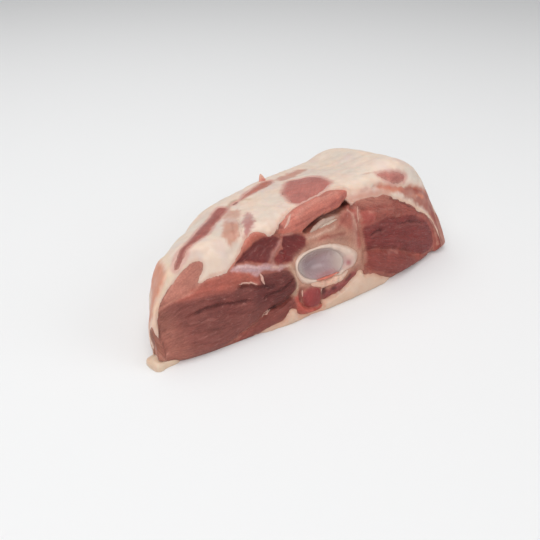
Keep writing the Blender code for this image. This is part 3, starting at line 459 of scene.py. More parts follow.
# Clouds of colour in the fat: colour, size, seed, where it starts and is full, strength.
FAT_CLOUDS = [
    ((214, 203, 190), 16.0, 31, 0.45, 0.80, 0.5),
    ((216, 190, 184), 9.0, 34, 0.50, 0.80, 0.4),
    ((236, 206, 182), 12.0, 32, 0.50, 0.85, 0.4),
]
FAT_PAINT = [
    ("grey_patch", (215, 205, 192), 3.0, 0.7),
    ("left_blush", (206, 135, 108), 2.4, 0.97),
    ("left_strip", (228, 204, 176), 1.6, 0.7),
    ("beige_tissue", (200, 147, 127), 2.2, 0.95),
    ("mauve_tissue", (178, 116, 111), 1.6, 0.95),
    ("far_band", (190, 128, 112), 2.2, 0.8),
    ("right_rim", (162, 84, 68), 2.4, 0.95),
    ("red_strip", (140, 52, 42), 1.4, 0.85),
    ("orange_strip", (204, 122, 94), 1.6, 1.0),
    ("crease_window", (158, 74, 60), 1.6, 0.85),
]
FAT_LINES = [
    ((200, 114, 88), 2.2, 0.9, [(55, 68), (62, 65.6), (68, 63.4), (75, 61.2), (82, 58.8), (92, 55.4),
                                (101, 50.6)]),
    ((146, 66, 54), 1.8, 0.85, [(78, 59.6), (85, 57), (92, 54.2), (99, 50.6), (104, 46)]),
    ((206, 186, 182), 3.4, 0.5, [(-99, 61), (-93, 62.6), (-87, 62)]),
    ((210, 192, 188), 4.0, 0.4, [(-62, 96), (-54, 92), (-48, 84)]),
    ((218, 190, 178), 1.6, 0.5, [(30, 101), (44, 100), (58, 97), (70, 92)]),
    ((216, 186, 176), 1.4, 0.45, [(34, 112), (50, 110), (64, 106)]),
    ((220, 192, 178), 1.6, 0.4, [(22, 92), (32, 88), (44, 86)]),
    ((232, 204, 184), 0.8, 0.8, [(-46, 87), (-50, 77), (-55, 67), (-59, 62)]),
    ((172, 112, 96), 0.9, 0.5, [(-61, 65), (-57, 74), (-52, 84)]),
    ((196, 136, 118), 1.0, 0.5, [(48, 81.4), (54, 79.4), (60, 77.4)]),
    ((224, 176, 154), 1.2, 0.4, [(49, 73), (54, 69.6), (60, 68), (69, 65), (81, 61.4), (90, 58)]),
    ((202, 132, 112), 3.6, 0.75, [(28, 66.6), (36, 66), (44, 64.8), (52, 63.6), (60, 61.4)]),
    ((222, 176, 154), 2.4, 0.5, [(27, 73), (34, 70.6), (44, 69)]),
    ((228, 198, 172), 0.8, 0.8, [(64, 58.2), (69.7, 54.9), (76, 51), (82, 47.4), (89.5, 41.4), (97.3, 36.2),
                                 (103, 31), (107.5, 25.4), (109.8, 19)]),
    ((196, 150, 138), 1.0, 0.6, [(38, 69), (43, 69)]),
    ((236, 214, 194), 0.9, 0.6, [(66, 65), (74, 63), (82, 61)]),
    ((150, 118, 84), 1.6, 0.6, [(-41, 111), (-35, 117), (-30, 119)]),
    ((182, 160, 122), 1.6, 0.5, [(-30, 118), (-26, 115), (-24, 112)]),
    ((214, 196, 184), 3.0, 0.5, [(-70, 57), (-64, 59), (-58, 60)]),
    ((206, 160, 140), 1.2, 0.5, [(-38, 61.8), (-33, 63.4), (-29.5, 67), (-25, 69.8)]),
    ((214, 168, 148), 1.0, 0.5, [(-84, 47.4), (-78, 47), (-72, 48), (-66, 51.4), (-60, 57.6), (-54, 63.6)]),
]
# Slope of the fibres over x, by muscle, then on the ground, and how far apart their patterns are set.
GRAIN_SLOPES = {
    "heel_muscle": 0.25, "pale_muscle": 0.4, "flame_band": 0.05, "rim_muscle": 0.55, "right_band": -0.5,
    "right_core": -0.32, "right_lobe": -0.45, "right_lump": 0.4, "end_strip": -1.5, "side_tissue": 2.5,
    "joint_streak": 0.05, "deep_left": 0.5, "deep_right": -0.6, "silver_seam": -0.22, "strap_muscle": 0.16,
    "small_long_muscle": 0.5, "red_wrap": -0.9, "round_muscle": 1.3, "blade_window": 1.2, "long_window": 0.9,
}
GROUND_SLOPE = 0.12
GRAIN_OFFSET = 7.0
# Fan of the long muscle's fibres: its middle and its half width in w, by x, and the width that it is given.
FAN_MIDDLE = [(-126, 16), (-100, 19), (-75, 21), (-50, 25), (-25, 27)]
FAN_HALF = [(-126, 12), (-100, 19), (-75, 17), (-50, 12.5), (-25, 9)]
FAN_WIDTH = 18
# How plainly each muscle shows its fibres, where it isn't the full strength.
FIBRE_SHARES = {
    "pale_muscle": 0.5, "flame_band": 0.6, "rim_muscle": 0.4, "joint_tissue": 0.25, "side_tissue": 0.4,
    "joint_streak": 0.4, "deep_left": 0.6, "deep_right": 0.6, "silver_seam": 0.15, "strap_muscle": 0.6,
    "red_wrap": 0.5, "round_muscle": 0.4, "small_long_muscle": 0.6, "blade_window": 0.35, "long_window": 0.5,
    "top_window": 0.4, "right_window": 0.4, "right_lump": 0.4,
}

# Shoulder joint: the middle of the socket on the skin, its bowl and the outline of the bone about it.
SOCKET = (-6.0, 31.6)
BOWL_HALF_LENGTH, BOWL_HALF_WIDTH = 18.6, 9.9
BOWL_TILT = math.radians(-9)
BOWL_DEPTH = 6.4
BONE_OUTLINE = [(-26, 36), (-24.7, 39.6), (-20, 42.6), (-14.4, 43.8), (-8, 44), (-1.5, 44), (2.8, 43.4),
                (7.8, 42.8), (14, 39.8), (19.7, 36.6), (24.2, 32.4), (26, 28.3), (23.6, 23.8), (19, 21.8),
                (14.4, 21.4), (8, 20.2), (2, 20.4), (-5, 20.8), (-12, 21), (-19.7, 21.6), (-24, 24.6),
                (-26, 29)]
JOINT_FILM = ((204, 164, 142), 2.2, 0.5, BONE_OUTLINE + BONE_OUTLINE[:1])
BONE_OUTLINE_STEPS = 400
BONE_SPOKES = 150
BOWL_RINGS, RIM_RINGS = 26, 15
HUB = 0.02
BRIM_WIDTH = 1.7
BONE_DEPTH = 33.0
# Rings of the neck: size beside the rim's, and depth.
NECK = [(0.97, 3.0), (0.90, 9.0), (0.78, 16.0), (0.70, 24.0), (0.68, BONE_DEPTH)]
PIT_DEPTH = 13.0
BLOOD_SPOT = (14.6, 26.6)
# Where the neck's rings count as lying, which is off every patch of colour.
BURIED = 500.0
BONE_TONES = {
    "cream": (216, 190, 174), "bowl": (180, 158, 152), "ridge": (230, 208, 193), "knob": (198, 168, 156),
    "skirt": (202, 160, 140), "blood": (168, 92, 98), "halo": (214, 170, 160),
}
LINING_SPOKES, LINING_RINGS, LINING_END = 120, 22, 0.955
LINING_SHADOW = (-14, 34)
LINING_FOOT = 23.6
LINING_TONES = {
    "lilac": (177, 150, 152), "shadow": (144, 122, 126), "cream": (212, 194, 180), "upper": (158, 142, 130),
    "left": (176, 162, 154), "rosy": (176, 96, 96),
}

CRESCENT = [(-19.5, 22), (-13, 19.8), (-7, 18.0), (0, 17.6), (6, 18.2), (11, 19.6), (16, 22.4)]
RED_EDGE = [(-13, 22.6), (-8, 22.0), (-2, 21.7), (3, 21.9), (6.5, 22.8)]
TENDON_LINE = [(-9.5, 54), (-4.5, 55.8), (1, 57.4), (7, 58.6), (12.5, 59)]
TENDON_LIGHT = [(-3, 54.4), (2, 55.4), (8, 56.6), (14, 57)]
STRAND_STEPS, STRAND_SIDES = 14, 14
BRIM_TISSUE_HEIGHT = 0.9

# Strands of connective tissue on the meat: half width, height, course.
MEAT_STRANDS = {
    "strand_across_long_muscle": (0.9, 0.9, [(-51.4, 39), (-50.6, 36.4), (-50.5, 33.6), (-49.8, 30.4)]),
    "strand_curl_upper": (0.5, 0.8, [(-56, 10.4), (-54.6, 12), (-53, 13.8), (-51.5, 15.2)]),
    "strand_curl_lower": (0.6, 0.8, [(-55.4, 11), (-53, 11.6), (-50.6, 12.6), (-48.5, 13.7)]),
    "strand_strap_end": (0.8, 0.7, [(-20, 68.6), (-22.6, 66.4), (-25, 64), (-28.4, 61.4)]),
    "strand_beside_joint": (0.35, 0.4, [(31.4, 61), (31.2, 57), (30.8, 52), (30.8, 47)]),
    "strand_round_muscle": (0.5, 0.5, [(-23.6, 19.4), (-24.4, 17), (-24.8, 14.6)]),
    "strand_small_gap": (0.6, 0.5, [(-8.6, 16.6), (-9.8, 13), (-10.6, 10), (-11, 7)]),
    "strand_under_band": (0.6, 0.6, [(-67, 36.4), (-62, 36), (-58, 34.6), (-54.6, 32.6)]),
}
COVER_STRANDS = {
    "strand_on_cover": (0.7, 0.6, [(-44.6, 91), (-47, 85.6), (-50, 77), (-53, 71), (-55.6, 66.4),
                                   (-58.6, 62)]),
}

# Fat tab under the left tip: centre line on the floor, half width, thickness.
TAB_LINE = [(-131.5, -53), (-126, -52), (-119, -50.5), (-110, -49)]
TAB_HALF_WIDTH = 7.5
TAB_THICKNESS = 5.0

SUBSURFACE_SCALE = 0.004

LENS = 44.57
CAMERA_PLACE = (-240.7, -345.2, 264.6)
CAMERA_FORWARD = (0.467, 0.700, -0.540)
SENSOR_WIDTH = 36.0
# Floor and lights in metres: each light's place, its size and its power.
FLOOR_HALF = 4
LIT_POINT = (0, 0, 0.03)
SOFTBOXES = {
    "overhead_softbox": ((-0.15, 0.25, 1.10), (1.2, 1.2), 8.0),
    "front_left_softbox": ((-0.90, -0.80, 0.80), (0.9, 0.9), 6.6),
    "front_right_softbox": ((0.80, -0.90, 0.70), (0.9, 0.9), 4.3),
}
FLOOR_COLOUR = (0.85, 0.85, 0.85, 1)
SKY_COLOUR, SKY_STRENGTH = (0.98, 0.99, 1.0, 1), 0.36


def linear(colour):
    """Scene-linear value of a screen colour from 0 to 255, by the sRGB curve."""
    share = np.asarray(colour, float) / 255
    return np.where(share <= 0.04045, share / 12.92, ((share + 0.055) / 1.055) ** 2.4)


def smooth_step(low, high, value):
    """0 below low and 1 above high, with the cubic 3t^2 - 2t^3 between."""
    t = np.clip((value - low) / (high - low), 0, 1)
    return t * t * (3 - 2 * t)


def through(points, t):
    """Smooth curve through (position, value) pairs, read at t: cubic Hermite with central slopes."""
    knots = np.array([p[0] for p in points], float)
    values = np.array([p[1] for p in points], float)
    slopes = np.gradient(values, knots)
    k = np.clip(np.searchsorted(knots, t) - 1, 0, len(knots) - 2)
    span = knots[k + 1] - knots[k]
    s = np.clip((t - knots[k]) / span, 0, 1)
    start = (2 * s**3 - 3 * s**2 + 1) * values[k] + (s**3 - 2 * s**2 + s) * span * slopes[k]
    end = (3 * s**2 - 2 * s**3) * values[k + 1] + (s**3 - s**2) * span * slopes[k + 1]
    return start + end


def curve_through(points, count, closed=False):
    """Cubic Hermite curve through points, with count places at equal steps of the point number."""
    points = np.array(points, float)
    if closed:
        points = np.concatenate([points[-1:], points, points[:2]])
        t = 1 + np.linspace(0, len(points) - 3, count, endpoint=False)
    else:
        t = np.linspace(0, len(points) - 1, count)
    slopes = np.gradient(points, axis=0)
    k = np.clip(t.astype(int), 0, len(points) - 2)
    s = (t - k)[:, None]
    start = (2 * s**3 - 3 * s**2 + 1) * points[k] + (s**3 - 2 * s**2 + s) * slopes[k]
    return start + (3 * s**2 - 2 * s**3) * points[k + 1] + (s**3 - s**2) * slopes[k + 1]


def taper_at(x):
    """Share of the full section left at x: a superellipse over the length, blunter at the left end."""
    bluntness = np.where(x < MIDDLE, END_BLUNTNESS_LEFT, END_BLUNTNESS_RIGHT)
    return np.maximum(1 - np.abs((x - MIDDLE) / HALF) ** bluntness, 0) ** (1 / bluntness)


def sections(x):
    """Closed cross-sections at the places x, from straight down round the front, the top and the back.

    A section is the soft minimum of eight straight walls about a core point, which rounds every corner. It is
    scaled by the taper, and is cut off flat at the resting surface.
    """
    front, back, ridge_y, ridge_z, crest = (through(STATIONS[:, [0, k]], x) for k in range(1, 6))
    core_y = 0.5 * (front + back)
    core_z = CORE_HEIGHT * crest
    half_back = back - core_y
    half_up = crest - core_z
    bearing = -np.pi / 2 - np.linspace(0, 2 * np.pi, SECTION_STEPS + 1)
    dy, dz = np.cos(bearing), np.sin(bearing)
    walls = [
        (0, -1, core_y, -SINK),
        (-ridge_z, ridge_y - front, front, 0),
        (math.sin(TOP_LEAN), math.cos(TOP_LEAN), ridge_y + TOP_SET_BACK, crest),
        (1, 0, back, 0),
        (0.55, 0.835, core_y + 0.80 * half_back, core_z + 0.66 * half_up),
        (0.90, 0.43, core_y + 0.93 * half_back, core_z + 0.20 * half_up),
        (0.85, -0.52, back, 0.15 * crest),
        (-0.80, -0.60, front, 0.02 * crest),
    ]
    total = 0
    for ny, nz, py, pz in walls:
        size = np.hypot(ny, nz)
        ny, nz = ny / size, nz / size
        distance = (py - core_y) * ny + (pz - core_z) * nz
        facing = np.multiply.outer(ny * np.ones_like(x), dy) + np.multiply.outer(nz * np.ones_like(x), dz)
        total = total + (np.maximum(facing, 0) / distance[:, None]) ** CORNER_SHARPNESS
    radius = total ** (-1 / CORNER_SHARPNESS) * taper_at(x)[:, None]
    y = core_y[:, None] + radius * dy
    z = np.maximum(core_z[:, None] + radius * dz, 0)
    return y, z


def measured(y, z):
    """Length along each section to every step, and the length at which it leaves the resting surface."""
    step = np.hypot(np.diff(y, axis=1), np.diff(z, axis=1))
    along = np.concatenate([np.zeros((len(y), 1)), np.cumsum(step, axis=1)], axis=1)
    return along, along[np.arange(len(y)), np.argmax(z > ON_FLOOR, axis=1)]


def skin(x, w):
    """Points of the bare skin: each row of w is read along the section at that row's x."""
    y, z = sections(x)
    along, foot = measured(y, z)
    points = np.empty(w.shape + (3,))
    points[..., 0] = x[:, None]
    for row, (section_y, section_z, reach) in enumerate(zip(y, z, along)):
        place = np.mod(w[row] + foot[row], max(reach[-1], 1e-6))
        points[row, :, 1] = np.interp(place, reach, section_y)
        points[row, :, 2] = np.interp(place, reach, section_z)
    return points


def directions(x, w):
    """Unit directions of the bare skin along x, along w and outwards, read over a span that turns gently."""
    along_x = skin(np.minimum(x + NORMAL_SPAN, RIGHT_TIP), w) - skin(np.maximum(x - NORMAL_SPAN, LEFT_TIP), w)
    along_w = skin(x, w + NORMAL_SPAN) - skin(x, w - NORMAL_SPAN)
    found = (along_x, along_w, np.cross(along_x, along_w))
    return [d / np.maximum(np.linalg.norm(d, axis=-1, keepdims=True), 1e-9) for d in found]


def exposed_length(x):
    """Length of each section above the resting surface."""
    y, z = sections(x)
    step = np.hypot(np.diff(y, axis=1), np.diff(z, axis=1))
    return (step * (z[:, 1:] > ON_FLOOR)).sum(axis=1)


def distance_to_line(x, w, line):
    """Distance in (x, w) from each place to a broken line, up to FAR; rows further off are passed over."""
    x, w = np.broadcast_arrays(x, w)
    lead = x if x.ndim == 1 else x[:, 0]
    nearest = np.full(x.shape, FAR)
    for (x0, w0), (x1, w1) in zip(line[:-1], line[1:]):
        near = (lead > min(x0, x1) - FAR) & (lead < max(x0, x1) + FAR)
        dx, dw = x1 - x0, w1 - w0
        u, v = x[near] - x0, w[near] - w0
        share = np.clip((u * dx + v * dw) / (dx * dx + dw * dw + 1e-12), 0, 1)
        nearest[near] = np.minimum(nearest[near], np.hypot(u - share * dx, v - share * dw))
    return nearest


def distance_to_course(x, w, course):
    """Distance in (x, w) from each place to a smooth curve through the course."""
    return distance_to_line(x, w, curve_through(course, 4 * len(course)))


def depth_inside(x, w, outline):
    """Distance from each place to a smooth closed curve through the outline, positive inside it.

    A place is inside when a line from it towards +w meets the curve an odd number of times.
    """
    line = curve_through(outline, 4 * len(outline), closed=True)
    line = np.concatenate([line, line[:1]])
    lead = x if x.ndim == 1 else x[:, 0]
    inside = np.zeros(x.shape, bool)
    for (x0, w0), (x1, w1) in zip(line[:-1], line[1:]):
        crossed = (x0 > lead) != (x1 > lead)
        if crossed.any():
            inside[crossed] ^= w[crossed] < w0 + (x[crossed] - x0) * (w1 - w0) / (x1 - x0)
    nearest = distance_to_line(x, w, line)
    return np.where(inside, nearest, -nearest)


def side_of_edge(x, w, edge, corners):
    """Signed distance to an open edge that runs in +x, positive on the side that the corners close."""
    return depth_inside(x, w, list(curve_through(edge, 2 * len(edge))) + corners)


def cloud(points, size, seed):
    """Value noise from 0 to 1: random numbers on a cubic lattice of this size, blended by 3t^2 - 2t^3."""
    lattice = np.random.default_rng(seed).random((LATTICE, LATTICE, LATTICE))
    cell = points / size
    base = np.floor(cell).astype(int)
    t = cell - base
    t = t * t * (3 - 2 * t)
    total = 0
    for corner in itertools.product((0, 1), repeat=3):
        near = (base + corner) % LATTICE
        weight = np.prod(np.where(corner, t, 1 - t), axis=-1)
        total = total + weight * lattice[near[..., 0], near[..., 1], near[..., 2]]
    return total


def roughened(value, points, bumps):
    """Value plus noise about zero for each bump: height times (cloud - 1/2)."""
    for height, size, seed in bumps:
        value = value + height * (cloud(points, size, seed) - 0.5)
    return value


def turned(x, w, slope):
    """Distances along and across a direction of the given slope."""
    turn = math.atan(slope)
    return x * math.cos(turn) + w * math.sin(turn), w * math.cos(turn) - x * math.sin(turn)


def swelling(depth, height, reach):
    """Rounded rise inside an outline: height times 1 - exp(-depth / reach)."""
    return height * (1 - np.exp(-np.maximum(depth, 0) / reach))


def bell(distance, half_width):
    """Bell-shaped share about a line: exp(-(distance / half width)^2)."""
    return np.exp(-(distance / half_width) ** 2)


def mound(u, v):
    """Broad bell over an ellipse: exp(-1.4 (u^2 + v^2)), where u and v are shares of its half axes."""
    return np.exp(-1.4 * (u**2 + v**2))


def blend(colour, tone, share):
    """Colour taken towards a tone by the share at each place."""
    return colour + (linear(tone) - colour) * share[..., None]


def ends_and_foot(x, w):
    """1 over the middle of the skin, falling to none at the tips and at the foot of the cut face."""
    return smooth_step(0.1, 0.62, taper_at(x)) * smooth_step(-1.0, 5.0, w)


def fields(x, w):
    """Depth inside each outline, by name."""
    return {name: depth_inside(x, w, outline) for name, outline in OUTLINES.items()}


def fat_depth(x, w, exposed, inside):
    """Distance into the fat cover from its edge, its openings and its hem, positive where there is fat."""
    depth = side_of_edge(x, w, FAT_EDGE, COVER_CORNERS)
    for name in OPENINGS:
        depth = np.minimum(depth, -inside[name])
    return np.minimum(depth, exposed - hem_at(x) - w)


def hem_at(x):
    """How high above the floor the cover ends on the back, along the section: lower towards the tips."""
    return TIP_HEM + (HEM - TIP_HEM) * smooth_step(0.45, 0.95, taper_at(x))


def under_fat_depth(x, w):
    """Distance into the fat layer beneath the front, positive where there is fat."""
    return side_of_edge(x, w, UNDER_FAT_EDGE, UNDER_FAT_CORNERS)


def painted(ground, paint, lines, x, w, inside, points, ragged):
    """Colour of every place: layers of paint in order, their edges blurred and made ragged by noise."""
    colour = np.ones(x.shape + (3,)) * ground
    wander = ragged * roughened(0, points, PAINT_BUMPS)
    for name, tone, softness, strength in paint:
        colour = blend(colour, tone, strength * smooth_step(-softness, softness, inside[name] + wander))
    for tone, half_width, strength, course in lines:
        distance = distance_to_course(x, w, course) + 0.5 * wander
        colour = blend(colour, tone, strength * bell(distance, half_width))
    return colour


def mesh_piece(name, points, faces, body="root", stands_for=(), finish=None, colour=None,
               grain=None):
    """Finished piece in metres from points in millimetres, with its colour and grain as attributes."""
    mesh = bpy.data.meshes.new(name)
    mesh.from_pydata((points.reshape(-1, 3) * MM).tolist(), [], faces)
    mesh.shade_smooth()
    if colour is not None:
        values = np.ones((len(mesh.vertices), 4), np.float32)
        values[:, :colour.shape[-1]] = colour.reshape(-1, colour.shape[-1])
        mesh.attributes.new("tint", "FLOAT_COLOR", "POINT").data.foreach_set("color", values.ravel())
    if grain is not None:
        values = np.ascontiguousarray(grain.reshape(-1, 3), np.float32)
        mesh.attributes.new("grain", "FLOAT_VECTOR", "POINT").data.foreach_set("vector", values.ravel())
    mesh.materials.append(finish)
    piece = bpy.data.objects.new(name, mesh)
    bpy.context.scene.collection.objects.link(piece)
    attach(piece, body)
    if stands_for:
        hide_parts(*stands_for)
    return piece


def ring_faces(rings, count):
    """Quads between closed rings of count points, and a fan to a last point at each end, facing outwards."""
    here = np.arange(count)
    after = (here + 1) % count
    starts = (np.arange(rings - 1) * count)[:, None]
    quads = np.stack([starts + here, starts + after, starts + count + after, starts + count + here], axis=-1)
    faces = quads.reshape(-1, 4).tolist()
    first, last = rings * count, (rings - 1) * count
    faces += np.stack([np.full(count, first), after, here], axis=1).tolist()
    faces += np.stack([np.full(count, first + 1), last + here, last + after], axis=1).tolist()
    return faces


def shell_faces(rows, columns):
    """Faces of a closed sheet: an outer grid, an inner grid after it, and walls round the edge."""
    number = np.arange(rows * columns).reshape(rows, columns)
    a, b, c, d = number[:-1, :-1], number[1:, :-1], number[1:, 1:], number[:-1, 1:]
    outer = np.stack([a, b, c, d], axis=-1).reshape(-1, 4)
    inner = outer[:, ::-1] + rows * columns
    edge = np.concatenate([number[0], number[1:, -1], number[-1, -2::-1], number[-2:0:-1, 0]])
    after = np.roll(edge, -1)
    wall = np.stack([edge, after, after + rows * columns, edge + rows * columns], axis=1)
    return np.concatenate([outer, inner, wall]).tolist()


def row_places(rows):
    """Places in x at equal steps along the tapering profile, so that the blunt ends are covered evenly."""
    angle = np.linspace(0, np.pi, PROFILE_STEPS)[1:-1]
    x = MIDDLE - HALF * np.cos(angle)
    radius = END_RADIUS * taper_at(x)
    along = np.concatenate([[0], np.cumsum(np.hypot(np.diff(x), np.diff(radius)))])
    return np.interp(np.linspace(0, along[-1], rows), along, x)


def lean_relief(x, w, points, inside, fat):
    """Height of the meat over the bare skin: swellings and noise, less grooves and the room under the fat."""
    height = sum(swelling(inside[name], rise, reach) for name, (rise, reach) in SWELLS.items())
    for depth, half_width, course in GROOVES:
        height = height - depth * bell(distance_to_course(x, w, course), half_width)
    height = roughened(height, points, LEAN_BUMPS) * ends_and_foot(x, w)
    corner = bell(taper_at(x) - CORNER_TAPER, CORNER_SPREAD) * (x < 0)
    height = height - CORNER_DRAW * corner * smooth_step(-2, 4, w) * (1 - smooth_step(30, 40, w))
    covered = smooth_step(0, 2.5, fat)
    height = np.minimum(height, LEAN_MOST_UNDER_FAT) * covered + height * (1 - covered)
    height = height - LEAN_UNDER_FAT * smooth_step(0.2, 3.0, fat) * smooth_step(0.50, 0.72, taper_at(x))
    return height * smooth_step(0.0, 0.3, taper_at(x)) - settled_depth(x, w)


def cover_relief(x, w, points):
    """Height of the fat cover over the bare skin: puffed places, less folds, plus broad and fine noise."""
    height = roughened(COVER_BASE, points, COVER_BUMPS)
    for rise, (cx, cw), half_length, half_width, slope in PUFFS:
        along, across = turned(x - cx, w - cw, slope)
        height = height + rise * mound(along / half_length, across / half_width)
    for depth, half_width, course in FOLDS:
        height = height - depth * bell(distance_to_course(x, w, course), half_width)
    return height


def settled_depth(x, w):
    """How far the roast has settled at each place: a broad mound, upside down, about each centre."""
    total = 0.0 * x
    for depth, (cx, cw), half_length, half_width in SETTLED:
        total = total + depth * mound((x - cx) / half_length, (w - cw) / half_width)
    return total


def grain_places(x, w, inside):
    """Place along and across the fibres in millimetres, with each muscle's own direction and offset.

    The long muscle's fibres fan out, so the place across them is scaled by the muscle's half width.
    """
    grain = np.stack([*turned(x, w, GROUND_SLOPE), 0 * x], axis=-1)
    fan = np.stack([x, (w - through(FAN_MIDDLE, x)) / through(FAN_HALF, x) * FAN_WIDTH, 0 * x], axis=-1)
    grain = np.where(inside["long_muscle"][..., None] > 0, fan, grain)
    for number, (name, slope) in enumerate(GRAIN_SLOPES.items()):
        own = np.stack([*turned(x, w, slope), 0 * x + GRAIN_OFFSET * (number + 1)], axis=-1)
        grain = np.where(inside[name][..., None] > 0, own, grain)
    return grain


def cover_colour(x, w, points, inside, fat):
    """Colour of the fat cover: a clouded ground, paint and lines, and films along its edge and openings."""
    ground = np.ones(x.shape + (3,)) * linear(FAT_GROUND)
    for tone, size, seed, low, high, strength in FAT_CLOUDS:
        ground = blend(ground, tone, strength * smooth_step(low, high, cloud(points, size, seed)))
    colour = painted(ground, FAT_PAINT, FAT_LINES, x, w, inside, points, FAT_RAGGED)
    colour = blend(colour, COVER_EDGE, 0.5 * (1 - smooth_step(-0.5, 3.2, fat)))
    opening = roughened(np.max([inside[name] for name in OPENINGS], axis=0), points, OPENING_BUMPS)
    colour = blend(colour, COVER_FILM, 0.8 * smooth_step(-3.2, 0.2, opening))
    return colour * (0.95 + 0.1 * cloud(points, 3.0, 33))[..., None]


def meat_places(x):
    """Places in w round every section: closest together on the cut face and widest apart on the underside."""
    y, z = sections(x)
    along, foot = measured(y, z)
    w = along - foot[:, None]
    closeness = np.where(w < FACE_END, FACE_CLOSENESS, np.where(w < TOP_END, TOP_CLOSENESS, BACK_CLOSENESS))
    closeness = np.where(z < ON_FLOOR, UNDERSIDE_CLOSENESS, closeness)
    weighted = np.cumsum(np.diff(along, axis=1) * closeness[:, 1:], axis=1)
    weighted = np.concatenate([np.zeros((len(x), 1)), weighted], axis=1)
    share = np.linspace(0, 1, MEAT_COLUMNS, endpoint=False)
    return np.stack([np.interp(share * total[-1], total, reach) for total, reach in zip(weighted, w)])


def meat_colour(x, w, bare, inside, fat):
    """Colour of the meat, with how plainly its fibres show as a fourth value.

    Films lie round the openings and along the fat's edge. Towards the tips, where the fat cover's sheet ends,
    coated meat takes the fat's colour. The fibres fade at the muscles' borders and under the fat.
    """
    lines = MEAT_LINES + [JOINT_FILM]
    colour = painted(linear(MEAT_GROUND), MEAT_PAINT, lines, x, w, inside, bare, MEAT_RAGGED)
    opening = np.max([inside[name] for name in OPENINGS], axis=0)
    film = smooth_step(-2.0, -0.2, opening) * (1 - smooth_step(-0.2, 2.6, opening))
    colour = blend(colour, MEAT_FILM, 0.65 * film)
    colour = blend(colour, MEAT_BORDER, 0.35 * smooth_step(-2.0, -0.1, fat))
    colour = colour * (0.86 + 0.28 * cloud(bare, 7.0, 21) + 0.16 * (cloud(bare, 2.2, 22) - 0.5))[..., None]
    coated = smooth_step(0.2, 1.2, fat)[..., None]
    ends = taper_at(x[:, 0]) < 0.8
    ends_inside = {name: depth[ends] for name, depth in inside.items()}
    fat_colour = cover_colour(x[ends], w[ends], bare[ends], ends_inside, fat[ends])
    colour[ends] = colour[ends] + (fat_colour - colour[ends]) * coated[ends]
    border = np.min([np.abs(inside[name]) for name in ("long_muscle", *GRAIN_SLOPES)], axis=0)
    fibre = (1 - coated) * smooth_step(0.1, 1.3, border)[..., None]
    for name, strength in FIBRE_SHARES.items():
        fibre = fibre * (1 + (strength - 1) * smooth_step(-1.0, 1.0, inside[name])[..., None])
    return np.concatenate([colour, fibre], axis=-1)


def meat(finish):
    """The whole cut of lean meat as one closed skin: rings round every section and a pole at each tip.

    A point is the bare skin's point, moved out along the normal by the relief, less the room for the low fat
    and the pit for the bone.
    """
    x = row_places(MEAT_ROWS)
    places = meat_places(x)
    wide = np.broadcast_to(x[:, None], places.shape)
    bare = skin(x, places)
    out = directions(x, places)[2]
    inside = fields(wide, places)
    fat = fat_depth(wide, places, exposed_length(x)[:, None], inside)
    low = under_fat_depth(wide, places)
    height = lean_relief(wide, places, bare, inside, fat)
    height = height - LEAN_OVER_LOW_FAT * smooth_step(-0.5, 1.5, low) * smooth_step(-6, 0, places)
    height = height - PIT_DEPTH * smooth_step(1.2, 4.2, depth_inside(wide, places, BONE_OUTLINE))
    points = bare + height[..., None] * out
    points[..., 2] = np.maximum(points[..., 2], np.where(low > 0, LEAN_OFF_FLOOR, 0.0))
    colour = meat_colour(wide, places, bare, inside, fat)
    grain = grain_places(wide, places, inside)
    front, back, crest = STATIONS[[0, -1]][:, [1, 2, 5]].T
    tips = np.stack([(LEFT_TIP, RIGHT_TIP), 0.5 * (front + back), CORE_HEIGHT * crest], axis=1)
    points = np.concatenate([points.reshape(-1, 3), tips])
    colour = np.concatenate([colour.reshape(-1, 4), colour[[0, -1], MEAT_COLUMNS // 3]])
    grain = np.concatenate([grain.reshape(-1, 3), grain[[0, -1], 0]])
    faces = ring_faces(MEAT_ROWS, MEAT_COLUMNS)
    return mesh_piece("lean_meat", points, faces, "root", ("lean",), finish, colour, grain)


